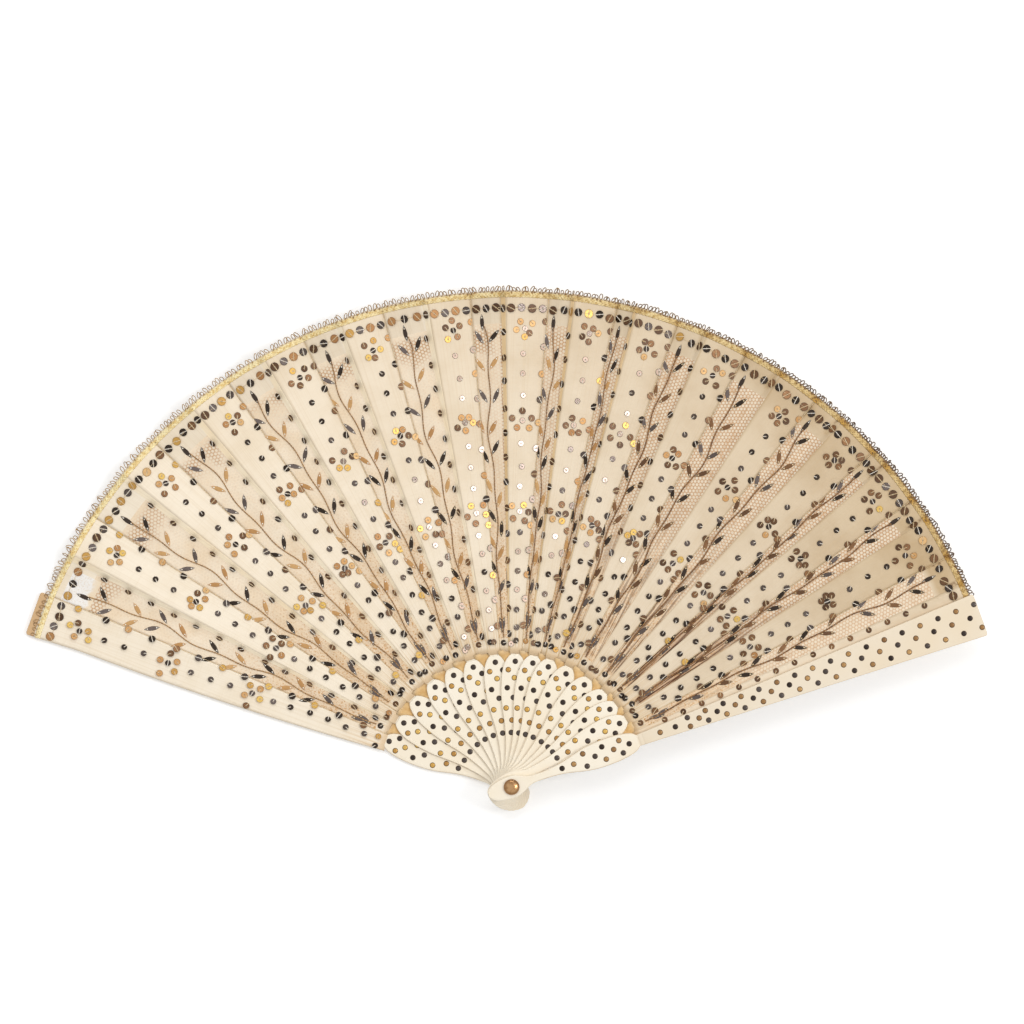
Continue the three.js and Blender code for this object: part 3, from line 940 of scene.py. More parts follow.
def silk_finish(name, fresh_tones, worn_and_shaded_tones, sheen=0.25):
    silk = Finish(name)
    foxing, blot, thread = linear(212, 170, 110), linear(118, 84, 50), linear(205, 176, 132)
    warp = silk.noise(1.0, 3.0, silk.stretched(14, 1900))
    weft = silk.noise(1.0, 2.0, silk.stretched(1500, 60))
    stain = silk.noise(46.0, 4.0, roughness=0.6)
    age = silk.age()
    fresh = silk.mix(stain.between(0.35, 0.8), *[linear(*tone) for tone in fresh_tones])
    # worn: the tan of age, and painted shade where the pleats on the right turn from the light
    worn = silk.mix(stain.between(0.3, 0.75), *[linear(*tone) for tone in worn_and_shaded_tones])
    base = silk.mix(age, fresh, worn)
    threads = (warp.between(0.45, 0.75) * 0.22) + (weft.between(0.5, 0.8) * 0.1)
    along, _ = silk.lay()
    gorge = (1 - along.between(*GORGE)) * warp.between(0.38, 0.62)
    foot = (1 - along.between(*FOOT_STAIN)) * 0.55
    foxed = silk.mix(foot.math("MAXIMUM", gorge * 0.5), base, foxing)
    blots = age.between(1.0, 1.5) * silk.noise(420.0, 3.0).between(0.42, 0.6) * 0.75
    blotted = silk.mix(blots, foxed, blot)
    colour = silk.mix(threads, blotted, thread)
    relief = silk.bump(warp * 0.7 + weft * 0.3, 0.22, 0.00025)
    return silk.surface(
        Base_Color=colour, Roughness=0.62 - warp * 0.12, Normal=relief,
        Sheen_Weight=sheen, Sheen_Roughness=0.4,
    )


SILK = silk_finish("silk", [(249, 236, 215), (241, 225, 199)], [(208, 184, 148), (190, 162, 122)])
# The climbs to the next fold take a lighter copy of the silk: painted light on the left, where the climbs face
# away from the light; their tan in the middle of the fan is painted shade.
FOLD_PAINTED_LIGHT = silk_finish("silk_folds_painted_light", [(255, 240, 212), (255, 232, 194)], [(240, 210, 162), (226, 190, 136)], 0.4)
print("finishes:", SILK.name, FOLD_PAINTED_LIGHT.name)

# %% [markdown]
# Net of this kind is a machine-made tulle with six-sided cells, a millimetre and a half wide. Modelling each
# hole would need millions of faces, so the holes are in the Alpha socket. Three cosine waves, turned sixty
# degrees from each other, add up to a honeycomb: high in the middle of a cell, low along its threads.

# %% Honeycomb
NET_CELL = 1.5 * MM
WAVE_TURNS = [math.radians(turn) for turn in (30, 90, 150)]


def honeycomb(net, along, across):
    """1 on the threads of the net, and 0 in its holes."""
    pace = 4 * math.pi / (math.sqrt(3) * NET_CELL)
    tilted = [along * (pace * math.cos(turn)) + across * (pace * math.sin(turn)) for turn in WAVE_TURNS]
    waves = [wave.math("COSINE") for wave in tilted]
    cells = waves[0] + waves[1] + waves[2]
    return 1 - cells.between(-1.3, 0.4)


print("cells of the net, mm:", round(NET_CELL / MM, 2))

# %% [markdown]
# Old net has several looks on one strip. Over its lining it shows only specks of thread. In a band near the
# hem, and further in on worn strips, it shows its cells. Towards the blades it is brown with dark streaks,
# most of all right of the middle of the fan: painted shade of the deep valleys and creases there, with some
# age. The distance from the rivet and the stored tone pick the look, and each mix adds one more layer to the
# colour.

# %% Net finish
INNER_PART = (75 * MM, 150 * MM)
BAND_START, BAND_END = (166 * MM, 176 * MM), (190 * MM, 194 * MM)
WORN_PART = (80 * MM, 140 * MM)


def net_finish():
    net = Finish("net")
    backed, shaded, tan = linear(248, 231, 206), linear(242, 219, 187), linear(218, 172, 112)
    speck, hole, strand = linear(208, 154, 90), linear(248, 232, 207), linear(188, 134, 76)
    blotch, brown, painted_shade = linear(204, 156, 106), linear(164, 110, 60), linear(96, 58, 30)
    along, across = net.lay()
    thread = honeycomb(net, along, across)
    age = net.age()
    cloud = net.noise(90.0, 3.0)
    specks = net.noise(1500.0, 3.0).between(0.5, 0.68)
    crumple = net.noise(1.0, 4.0, net.stretched(40, 1300)).between(0.45, 0.57)
    worn = age.between(0.3, 0.6)
    inner = 1 - along.between(*INNER_PART)
    band = (along - cloud * 0.03).between(*BAND_START) * (1 - along.between(*BAND_END)) * 0.9
    bare = band.math("MAXIMUM", worn * along.between(*WORN_PART) * 0.9)
    clear = net.mix(cloud.between(0.3, 0.75), backed, shaded)
    pale = net.mix(inner * 0.3, clear, tan)
    speckled = net.mix(specks * (0.16 + inner * 0.8), pale, speck)
    cells = net.mix(thread * (1 - cloud * 0.35), hole, strand)
    mixed = net.mix(bare, speckled, cells)
    blotches = net.noise(330.0, 3.0).between(0.5, 0.68) * worn * 0.4
    mottled = net.mix(blotches, mixed, blotch)
    # painted shade of the deep valleys on the right nets, towards the blades, with some age
    valley_shade_and_age = age.between(0.72, 0.8) * (1 - age.between(0.87, 0.92))
    # how strong the painted shade of the creases is, more on the right
    crease_shade = age.between(0.4, 0.75) * 0.8 + 0.1
    streaks = crumple * crease_shade * (0.12 + inner * (0.7 + valley_shade_and_age * 0.4))
    dark = net.mix(valley_shade_and_age * inner * 0.42, mottled, brown)
    colour = net.mix(streaks, dark, painted_shade)
    return net.surface(
        Base_Color=colour, Roughness=0.8, Alpha=1 - (1 - thread) * (0.04 + bare * 0.1),
        Normal=net.bump(thread * bare, 0.25, 0.0002), Sheen_Weight=0.1,
    )


NET = net_finish()
print("nodes in the finish of the net:", len(NET.node_tree.nodes))

# %% [markdown]
# Two small finishes complete the cloth. On the first net strip a patch near the hem has no lining left, and
# the white ground shows through. Between the blades' ends the leaf's lining shows, tan and frayed. In both,
# noise on the distance from the rivet makes the edge ragged.

# %% Open net and lining
OPEN_EDGE = (195.5 * MM, 197.5 * MM)
FRAYED_EDGE = (56.8 * MM, 61 * MM)


def open_net_finish():
    net = Finish("open_net")
    white, thread, backed = linear(246, 242, 236), linear(226, 206, 178), linear(242, 222, 192)
    grain = net.noise(1700.0, 2.0)
    along, _ = net.lay()
    open_here = (along + net.noise(260.0, 3.0) * 0.006).between(*OPEN_EDGE)
    bare = net.mix(grain.between(0.45, 0.7) * 0.5, white, thread)
    colour = net.mix(open_here, backed, bare)
    return net.surface(Base_Color=colour, Roughness=0.8, Normal=net.bump(grain, 0.2, 0.0002))


def lining_finish():
    lining = Finish("lining")
    light, deep, pale = linear(230, 192, 134), linear(208, 164, 102), linear(230, 206, 168)
    stain = lining.noise(420.0, 3.0)
    along, _ = lining.lay()
    frayed = (along + stain * 0.004).between(*FRAYED_EDGE)
    tan = lining.mix(stain.between(0.3, 0.7), light, deep)
    colour = lining.mix(frayed, tan, pale)
    return lining.surface(Base_Color=colour, Roughness=0.85, Normal=lining.bump(stain, 0.5, 0.0004))


LINING, OPEN_NET = lining_finish(), open_net_finish()
print("finishes:", LINING.name, OPEN_NET.name)

# %% [markdown]
# ## Silk strips
# Each strip is one grid of points on its surface, thickened by a modifier. It is glued to its stick, so
# it rides on that stick, and it stands for the plain solid of the same name. Strips further right are
# more tanned, partly with age and partly as painted shade, and the fold on a strip's left is painted shade,
# so we first say what tone each place on the silk takes.

# %% Tan and painted shade of the silk
FRESH_STRIPS = 1.5
LEAST_TONE, INNER_TONE, OUTER_TONE, TONE_CURVE = 0.05, 0.45, 0.7, 0.85
# Painted shade: a tan line along the fold on a strip's left, and a little towards both edges.
FOLD_TO, FOLD_SHADE = -0.95, 0.3
EDGE_FROM, SILK_EDGE_SHADE = 0.7, 0.1


def panel_tan_and_shade(member, radius):
    """Strips are more tanned towards the right of the fan, and there most of all towards the hem: partly age, and
    partly painted shade of pleats that turn away from the light.
    """
    outwards = (radius - LEAF_FOOT) / (LEAF_REACH - LEAF_FOOT)
    to_right = max(0.0, (member - FRESH_STRIPS) / (FRONT - FRESH_STRIPS)) ** TONE_CURVE
    return min(1.0, LEAST_TONE + (INNER_TONE + OUTER_TONE * outwards**2) * to_right)


def fold_and_edge_shade(share):
    """What the fold on the left and the edges add to a strip's tone: painted shade in the fold and towards the
    edges.
    """
    return FOLD_SHADE if share < FOLD_TO else SILK_EDGE_SHADE * max(0.0, abs(share) - EDGE_FROM)


print("age at the hem:", [round(panel_tan_and_shade(member, LEAF_REACH), 2) for member in range(FRONT + 1)])

# %% [markdown]
# The grid's rows run across the strip and its columns from foot to hem. The Solidify modifier gives it a
# thickness downwards, so the grid stays the upper face, where the sequins are sewn. The last strip, mostly
# under the guard, takes the tan and painted shade of one from the middle of the fan.

# %% Make the silk strips
SHEET_ROWS = 56
SILK_FOOT = 55.6 * MM
SILK_COLUMNS = 15


def sheet_radius(row, foot=LEAF_FOOT):
    return foot + (LEAF_REACH - foot) * row / (SHEET_ROWS - 1)


def thicken(piece, thickness):
    solid = piece.modifiers.new("thickness", "SOLIDIFY")
    solid.thickness = thickness
    solid.offset = -1.0


def silk_strip(member):
    surface = silk_surface(member)
    shares = [2 * col / (SILK_COLUMNS - 1) - 1 for col in range(SILK_COLUMNS)]
    spots = [(sheet_radius(row, SILK_FOOT), share) for row in range(SHEET_ROWS) for share in shares]
    pile = Pile()
    lay = [(radius, share * radius * SILK_HALF + member * GRAIN_APART) for radius, share in spots]
    shade_like = member if member < FRONT else FRONT // 2
    # the stored tone: tan and painted shade across the fan, and painted shade at the fold
    age = [min(1.0, panel_tan_and_shade(shade_like, radius) + fold_and_edge_shade(share)) for radius, share in spots]
    points = [surface(radius, share) for radius, share in spots]
    pile.add(points, strip_faces(SHEET_ROWS, SILK_COLUMNS), lay=lay, age=age)
    piece = pile.build(f"silk_strip_{member + 1:02d}", [SILK])
    thicken(piece, SILK_THICKNESS)
    return piece


silk_strips = [silk_strip(member) for member in range(FRONT + 1)]
for member, strip in enumerate(silk_strips):
    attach(strip, MEMBERS[member])
    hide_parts(f"silk_panel_{member + 1:02d}")
print("silk strips:", len(silk_strips))

# %% [markdown]
# ## Net strips
# A net strip joins two sticks, and bends between them when the fan shuts. How far each of its points follows
# the next stick is worked out from the share across the strip, along the arc, and kept with the pile. Columns
# stand closer together on the climb, where the cloth bends most.

# %% Columns and weights
NET_COLUMNS = 24
LOW_COLUMNS = round(NET_COLUMNS * 0.55)
BLEND_AT = LEAF_REACH * 0.6


def bend_between(piece, member, weights):
    """Bakes a piece's place into its mesh. Nothing here makes it fold between the two members."""
    start, end = net_span(member)
    MEMBERS[member + 1]
    polar(BLEND_AT, start, 0)
    polar(BLEND_AT, end, 0)
    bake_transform(piece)
    np.array(weights, np.float32)


def net_shares():
    """Columns, closer together on the steep climb."""
    shares = [CLIMB_AT_OPEN * col / LOW_COLUMNS for col in range(LOW_COLUMNS)]
    climb = NET_COLUMNS - LOW_COLUMNS
    return shares + [CLIMB_AT_OPEN + (1 - CLIMB_AT_OPEN) * col / (climb - 1) for col in range(climb)]


print("columns on the low part and on the climb:", LOW_COLUMNS, NET_COLUMNS - LOW_COLUMNS)

# %% [markdown]
# Between the rounded ends of two blades a few millimetres of the leaf's foot show. It goes over the edge of
# the lower blade and under the upper one, so its sides follow both outlines. It lies in the gap between the
# sticks and belongs to the net strip's mesh.

# %% Lining between the blades
LINING_SLOT = 3
LINING_FOOT = 50.5 * MM
LINING_REACH = 57.1 * MM
LINING_OVERLAP = 0.35 * MM
LEAST_TUCK, LEAST_HIDDEN = 1.6 * MM, 0.8 * MM
LINING_WIDTH = 0.01
LINING_ROWS = 8
LINING_COLUMNS = 6


def crown_half(member, radius):
    """Half the width of a blade near its rounded end."""
    side = stick_side(member) if 0 < member < FRONT else lobe_side(member)
    end = [point for point in side if point.y > LOBE_WIDEST_AT]
    return float(np.interp(radius, [point.y for point in end], [point.x for point in end]))


def add_lining(pile, member):
    """The leaf's foot between two blades: over the lower one's edge and under the upper one's."""
    height = LEVELS[member + 1] - STICK_GAP / 2
    points, weights, lay = [], [], []
    for row in range(LINING_ROWS):
        radius = LINING_FOOT + (LINING_REACH - LINING_FOOT) * row / (LINING_ROWS - 1)
        tuck = crown_half(member, min(radius, BLADE_REACH)) - LINING_OVERLAP
        hidden = crown_half(member + 1, min(radius, BLADE_REACH)) - 3 * LINING_OVERLAP
        start = ANGLES[member] - max(tuck, LEAST_TUCK) / radius
        end = ANGLES[member + 1] + max(hidden, LEAST_HIDDEN) / radius
        for col in range(LINING_COLUMNS):
            share = col / (LINING_COLUMNS - 1)
            points.append(polar(radius, start + (end - start) * share, height))
            weights.append(share)
            lay.append((radius, share * LINING_WIDTH))
    pile.add(points, strip_faces(LINING_ROWS, LINING_COLUMNS), LINING_SLOT, lay, 0.0, weights)


print("lining from foot to leaf, mm:", round((LINING_REACH - LINING_FOOT) / MM, 1))

# %% [markdown]
# Along the hem, at the foot and on the climb to the next fold a net strip is backed with silk, and only the
# window between shows net. On the left half the climb's silk is a lighter copy, painted light, and in the
# middle a tan one, painted shade. Each face has a slot that picks its finish, and each point has a stored tone
# of age and painted shade. Brown blots, where the folds of the right half meet the hem, are a tone above 1.

# %% Finish and tone across a net strip
NET_SLOT, SILK_SLOT, FOLD_SLOT, OPEN_SLOT = 0, 1, 2, 4
WINDOW_FOOT, WINDOW_TOP = 62.5 * MM, 194.5 * MM
OPEN_FROM, OPEN_TO, OPEN_SHARE = 191 * MM, 202 * MM, 0.75
LAST_PALE_FOLD, LAST_FOLD = 5, 8
LAST_NET_TONE = 0.5
BLOTS_FROM = 197 * MM
LEFT_BLOT, RIGHT_BLOT = 0.16, 0.1
BLOT_AGE = 0.9
BLOTS_AFTER, BLOTS_GROW = 5, 10


def in_window(radius):
    return WINDOW_FOOT < radius < WINDOW_TOP


def on_fold(member, share):
    """Folds on the climb have a silk of their own, up to the middle of the fan."""
    return share >= CLIMB_AT_OPEN and member <= LAST_FOLD


def net_slot(member, radius, share):
    if on_fold(member, share):
        return FOLD_SLOT
    if member == 0 and OPEN_FROM < radius < OPEN_TO and share < OPEN_SHARE:
        return OPEN_SLOT
    return NET_SLOT if in_window(radius) else SILK_SLOT


def hem_blot(member, radius, share):
    """Brown blots where the folds of the right half meet the hem."""
    at_fold = max(0.0, 1 - share / LEFT_BLOT) + max(0.0, 1 - abs(share - CLIMB_AT_OPEN) / RIGHT_BLOT)
    depth = BLOT_AGE * at_fold * max(0.0, member - BLOTS_AFTER) / BLOTS_GROW
    return depth if radius > BLOTS_FROM else 0.0


def net_tone(member, radius, share):
    if on_fold(member, share):
        # pale climbs on the left, painted light; tan climbs in the middle, painted shade
        return 0.0 if member <= LAST_PALE_FOLD else 1.0
    if in_window(radius):
        # the window's tone grows to the right: age, and painted shade of the deeper valleys
        return member / FRONT if member < FRONT - 1 else LAST_NET_TONE
    return panel_tan_and_shade(member, radius) + hem_blot(member, radius, share)


print("deepest blot, as an age:", round(net_tone(FRONT - 1, LEAF_REACH, 0.0), 2))

# %% [markdown]
# The strip itself is again a grid on its surface, with the lining added to the same mesh. Its net coordinates
# start at a different place on each strip. It stands for the plain solid of the same strip.

# %% Make the net strips
NET_THICKNESS = 0.1 * MM


def net_strip(member):
    surface = net_surface(member)
    start, end = net_span(member)
    spots = [(sheet_radius(row), share) for row in range(SHEET_ROWS) for share in net_shares()]
    faces = strip_faces(SHEET_ROWS, NET_COLUMNS)
    middles = [[sum(spots[corner][part] for corner in face) / 4 for part in (0, 1)] for face in faces]
    slots = [net_slot(member, *spot) for spot in middles]
    age = [net_tone(member, *spot) for spot in spots]
    lay = [(radius, share * (start - end) * radius + member * GRAIN_APART) for radius, share in spots]
    points = [surface(radius, share) for radius, share in spots]
    weights = [net_weight(member, share) for _, share in spots]
    pile = Pile()
    pile.add(points, faces, slots, lay, age, weights)
    add_lining(pile, member)
    piece = pile.build(f"net_strip_{member + 1:02d}", [NET, SILK, FOLD_PAINTED_LIGHT, LINING, OPEN_NET])
    thicken(piece, NET_THICKNESS)
    bend_between(piece, member, pile.weights)
    return piece


net_strips = [net_strip(member) for member in range(FRONT)]
for member, strip in enumerate(net_strips):
    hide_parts(f"net_panel_{member + 1:02d}")
print("net strips:", len(net_strips))

# %% [markdown]
# ## Sequins
# A sequin is a small cup stamped from thin metal, with a hole in the middle. A thread comes up through the
# hole and goes down over the rim, so each shows a pale stitch. Gold, tan, copper and dark steel ones are
# used here. Threads get a pair of tones, and those that browned on the right a second pair, mixed by age.

# %% Finishes of the trimmings
GOLD_SEQUIN = metal_finish("gold_sequins", [(204, 155, 84), (224, 179, 92), (246, 208, 116)], 0.3, 0.45)
COPPER_SEQUIN = metal_finish("copper_sequins", [(86, 59, 37), (114, 80, 51), (158, 114, 75)], 0.35, 0.4)
STEEL_SEQUIN = metal_finish("steel_sequins", [(72, 62, 54), (90, 78, 70), (150, 136, 130)], 0.07, 1.0)
TAN_SEQUIN = metal_finish("tan_leaves", [(176, 126, 78), (206, 156, 98), (228, 186, 128)], 0.4, 0.35)


def thread_finish(name, colour, worn, scale, old=None):
    thread = Finish(name)
    twist = thread.noise(scale, 2.0)
    shade = thread.mix(twist.between(0.35, 0.7), colour, worn)
    if old:
        shade = thread.mix(thread.age(), shade, thread.mix(twist.between(0.35, 0.7), *old))
    return thread.surface(Base_Color=shade, Roughness=0.7, Normal=thread.bump(twist, 0.4, 0.0002),
                          Sheen_Weight=0.2)


PALE_THREAD = thread_finish("pale_thread", linear(250, 244, 232), linear(236, 222, 198), 900.0)
BROWN_THREAD = thread_finish("brown_thread", linear(140, 102, 60), linear(194, 152, 94), 1400.0,
                             (linear(108, 72, 42), linear(164, 118, 66)))
SEAM_THREAD = thread_finish("seam_thread", linear(238, 216, 176), linear(218, 186, 136), 700.0)
BRAID = thread_finish("gold_braid", linear(252, 236, 186), linear(224, 190, 118), 700.0,
                      (linear(202, 157, 74), linear(128, 88, 30)))
WIRE = thread_finish("hem_wire", linear(192, 156, 104), linear(146, 112, 72), 900.0,
                     (linear(108, 78, 46), linear(66, 46, 28)))
TRIM = [GOLD_SEQUIN, COPPER_SEQUIN, STEEL_SEQUIN, TAN_SEQUIN,
        PALE_THREAD, BROWN_THREAD, SEAM_THREAD, BRAID, WIRE]
GOLD_TRIM, COPPER_TRIM, STEEL_TRIM, TAN_TRIM, PALE, BROWN, SEAM, PLAIT, LOOP_WIRE = range(len(TRIM))
print("trimming finishes:", len(TRIM))

# %% [markdown]
# Three shapes serve all the sewing. `cup` is a sequin: a section of six points, turned into a closed ring.
# `tube` is a thread along a path. A curve with a bevel could do that too, but these have to join a pile of
# plain points. `stitch` is the short thread over one side of a sequin, or right across it.

# %% Sequin, thread and stitch
SEQUIN_SIDES = 14
THREAD_RADIUS = 0.15 * MM
THREAD_SIDES = 4
CUP_SECTION = [(0.22, -0.02), (0.27, 0.0), (0.94, 0.0), (1.0, -0.03), (1.0, -0.08), (0.22, -0.08)]
HALF_STITCH = [(1.06, -0.06), (0.98, 0.1), (0.5, 0.1), (0.0, 0.06)]
OTHER_HALF = [(-0.5, 0.1), (-0.98, 0.1), (-1.06, -0.06)]
SHORTEST = 1e-9


def cup(radius):
    """A sequin: hole, flat floor and rounded rim, then back under it. Heights are in millimetres."""
    turns = turns_round(SEQUIN_SIDES)
    lay = [(share, 0.0) for share, _ in CUP_SECTION for _ in turns]
    points = [
        Vector((radius * share * math.cos(turn), radius * share * math.sin(turn), height * MM))
        for share, height in CUP_SECTION
        for turn in turns
    ]
    faces = strip_faces(len(CUP_SECTION), SEQUIN_SIDES, closed=True)
    last = (len(CUP_SECTION) - 1) * SEQUIN_SIDES
    faces += [
        [last + side, last + (side + 1) % SEQUIN_SIDES, (side + 1) % SEQUIN_SIDES, side]
        for side in range(SEQUIN_SIDES)
    ]
    return points, faces, lay


def tube(path, radius, sides=5, flat=1.0):
    """A thread along points, round or pressed flat, with closed ends."""
    points = []
    for index, here in enumerate(path):
        ahead = path[min(index + 1, len(path) - 1)] - path[max(index - 1, 0)]
        side = ahead.cross(Vector((0, 0, 1)))
        side = side.normalized() if side.length > SHORTEST else Vector((1, 0, 0))
        up = side.cross(ahead).normalized()
        points += [here + (side * math.cos(turn) + up * flat * math.sin(turn)) * radius
                   for turn in turns_round(sides)]
    faces = [list(reversed(face)) for face in strip_faces(len(path), sides, closed=True)]
    faces.append(list(range(sides)))
    faces.append([(len(path) - 1) * sides + step for step in reversed(range(sides))])
    return points, faces


def stitch(radius, whole):
    """A thread from the hole over the rim, or right across."""
    arch = HALF_STITCH + OTHER_HALF if whole else HALF_STITCH
    path = [Vector((0, radius * share, height * MM)) for share, height in arch]
    return tube(path, THREAD_RADIUS, THREAD_SIDES)


print("points in a sequin:", len(cup(1.4 * MM)[0]))

# %% [markdown]
# To lay a sequin on cloth we need a small frame there: which way is outwards, which way is across, and
# which way is up from the cloth. Points close by on the surface give it. A shrinkwrap could do this for one
# object, but not for thousands in one mesh. A little random tilt makes neighbouring sequins catch the light
# differently, as sewn ones do.

# %% Laying ornament on a surface
PROBE = 0.4 * MM
PROBE_SHARE = 0.01
TILT = math.radians(3.4)
PULL = math.radians(18.5)
SEQUIN_LIFT = 0.1 * MM


def frame_at(surface, radius, share, lift=0.0):
    """A matrix with X across the strip to the right, Y outwards and Z up from the cloth."""
    here = surface(radius, share)
    out = (surface(radius + PROBE, share) - surface(radius - PROBE, share)).normalized()
    across = surface(radius, min(1.0, share + PROBE_SHARE)) - surface(radius, share - PROBE_SHARE)
    up = across.cross(out).normalized()
    right = out.cross(up)
    place = Matrix((right, out, up)).transposed().to_4x4()
    place.translation = here + up * lift
    return place


def off(spread, chance):
    """A distance by chance, at most so many millimetres either way."""
    return chance.uniform(-spread, spread) * MM


def lay_on(pile, shape, place, slot, weight=0.0, smooth=True, age=0.0):
    points, faces, *lay = shape
    pile.add([place @ point for point in points], faces, slot, *lay, age=age, weight=weight, smooth=smooth)


def pulled(place):
    """The thread pulls a sequin to the slope of a whole pleat, also where the cloth is flatter."""
    return max(0.0, PULL - math.acos(min(1.0, place.col[2].z)))


def sew_sequin(pile, place, radius, metal, chance, whole=False, weight=0.0, roll=0.0):
    """A sequin with its stitch, turned and tilted at random, and rolled to the right if asked."""
    turn = Matrix.Rotation(chance.uniform(-math.pi, math.pi), 4, "Z")
    tilt = chance.gauss(0, 1) * TILT
    height = SEQUIN_LIFT + radius * (abs(math.sin(tilt)) + abs(math.sin(roll)))
    lifted = place @ Matrix.Translation((0, 0, height)) @ Matrix.Rotation(roll, 4, "Y")
    seat = lifted @ turn @ Matrix.Rotation(tilt, 4, "X")
    lay_on(pile, cup(radius), seat, metal, weight, smooth=False)
    lay_on(pile, stitch(radius, whole), seat, PALE if metal == STEEL_TRIM else SEAM, weight)


print("tilt, degrees:", round(math.degrees(TILT)))

# %% [markdown]
# ## The silk strips' sequins
# Gilt sequins have tarnished unevenly: gold and tan on the left, mostly copper on the right. Their metal is
# drawn by chance, from a seed that is fixed, so each run sews the same fan. A floret is five of them round a
# steel one, at uneven distances, as a hand sets them.

# %% Metals and florets
FLORET_RADIUS = 3.9 * MM
FLORET_SIZES, PETAL_REACH, PETAL_TURN = (0.85, 1.15), (0.68, 1.12), (-0.25, 0.25)
PETALS = 5
PETAL, SMALL = 1.45 * MM, 1.25 * MM
LEAST_COPPER, MORE_COPPER = 0.22, 0.76
GOLD_PART, TAN_PART = 0.45, 0.55
STEEL_AT_FOOT = 0.55


def copper_share(member):
    return LEAST_COPPER + MORE_COPPER * member / FRONT


def gilt(member, chance):
    """Gold, tan or copper, with less gold and more copper to the right."""
    copper = copper_share(member)
    shares = [GOLD_PART * (1 - copper), TAN_PART * (1 - copper), copper]
    return chance.choices([GOLD_TRIM, TAN_TRIM, COPPER_TRIM], shares)[0]


def crowd(member, chance):
    """The metals where the rows run together at the leaf's foot."""
    return STEEL_TRIM if chance.random() < STEEL_AT_FOOT else gilt(member, chance)


def floret(pile, member, surface, at, middle, chance):
    place = frame_at(surface, at, middle)
    sew_sequin(pile, place, SMALL, STEEL_TRIM, chance, whole=True, roll=pulled(place))
    first = chance.uniform(0, 2 * math.pi)
    size = FLORET_RADIUS * chance.uniform(*FLORET_SIZES)
    for petal in range(PETALS):
        turn = first + 2 * math.pi * petal / PETALS + chance.uniform(*PETAL_TURN)
        reach = size * chance.uniform(*PETAL_REACH)
        radius = at + reach * math.sin(turn)
        share = middle + reach * math.cos(turn) / (at * SILK_HALF)
        spot = frame_at(surface, radius, share)
        sew_sequin(pile, spot, PETAL, gilt(member, chance), chance, roll=pulled(spot))


print("share of copper at both ends:", copper_share(0), round(copper_share(FRONT), 2))

# %% [markdown]
# Down the middle of each strip run three florets, with three single steel sequins between them and singles
# from there to the foot. Along the right edge a row of gilt and steel covers the seam, and two more close
# the foot. Each is tilted to the slope of a whole pleat and sits a little off its mark.

# %% Rows on the silk
FLORETS_AT = (192 * MM, 153.7 * MM, 115 * MM)
SINGLE_STEP = 8 * MM
SEAM_STEP = 10.6 * MM
SEAM_START = 195 * MM
SEAM_SHARE = 0.93
SEAM_ROUND = 1.5 * MM
INNER_ROW_AT = 64 * MM
FOOT_ROW_AT = 60.4 * MM
FOOT_SHARES = (-0.6, 0.15)
SINGLES_CLOSER, SINGLES_IN = 0.92, 1.5 * MM
FIRST_SINGLE = 0.1


def single_radii():
    """Where the single sequins sit on a strip's middle line."""
    gap = (FLORETS_AT[0] - FLORETS_AT[1]) / 4
    outer = [FLORETS_AT[row] - gap * step * SINGLES_CLOSER - SINGLES_IN
             for row in (0, 1) for step in (1, 2, 3)]
    count = int((FLORETS_AT[2] - INNER_ROW_AT) / SINGLE_STEP)
    return outer + [FLORETS_AT[2] - SINGLE_STEP * (step + FIRST_SINGLE) for step in range(1, count + 1)]


def silk_ornament(pile, member, chance):
    surface = silk_surface(member)
    middle = chance.uniform(-0.08, 0.08)
    for at in FLORETS_AT:
        floret(pile, member, surface, at + off(1, chance), middle, chance)
    for at in single_radii():
        share = middle + chance.uniform(-0.07, 0.07)
        place = frame_at(surface, at + off(0.5, chance), share)
        sew_sequin(pile, place, SMALL, STEEL_TRIM, chance, roll=pulled(place))
    count = int((SEAM_START - INNER_ROW_AT) / SEAM_STEP)
    for step in range(count + 1):
        metal = STEEL_TRIM if step % 2 else gilt(member, chance)
        at = SEAM_START - SEAM_STEP * step + off(0.6, chance)
        place = frame_at(surface, at, SEAM_SHARE)
        sew_sequin(pile, place, SEAM_ROUND, metal, chance, True, roll=pulled(place))
    for share in FOOT_SHARES:
        at = FOOT_ROW_AT + off(0.8, chance)
        place = frame_at(surface, at, share + chance.uniform(-0.2, 0.2))
        sew_sequin(pile, place, SMALL, crowd(member, chance), chance, roll=pulled(place))


print("singles on a strip:", len(single_radii()))

# %% [markdown]
# A row of larger sequins, gilt and steel in turn, runs along the hem of silk and net alike. So it is a helper
# that takes any surface, and for a net also the weights. A thread joins them.

# %% Border row
BORDER_AT = 200.9 * MM
BORDER_COPPER, BORDER_STEEL = 1.87 * MM, 1.7 * MM
BORDER_STEP = 5.05 * MM
BORDER_ROLL = -0.1
BORDER_THREAD_LIFT = 0.25 * MM


def border_row(pile, member, surface, shares, first, chance, weight_at=None):
    """Gilt and steel in turn along the hem, from the first metal on."""
    for step, share in enumerate(shares):
        steel = (first + step) % 2
        weight = weight_at(share) if weight_at else 0.0
        radius = BORDER_STEEL if steel else BORDER_COPPER
        place = frame_at(surface, BORDER_AT + off(0.5, chance), share)
        metal = STEEL_TRIM if steel else gilt(member, chance)
        sew_sequin(pile, place, radius, metal, chance, True, weight, BORDER_ROLL)
    thread = [surface(BORDER_AT, share, BORDER_THREAD_LIFT) for share in shares]
    weights = [weight_at(share) for share in shares for _ in range(THREAD_SIDES)] if weight_at else 0.0
    lay_on(pile, tube(thread, THREAD_RADIUS / 2, THREAD_SIDES), Matrix.Identity(4), SEAM, weights)


print("sequins along the hem, about:", round(sum(OPENING) * BORDER_AT / BORDER_STEP))

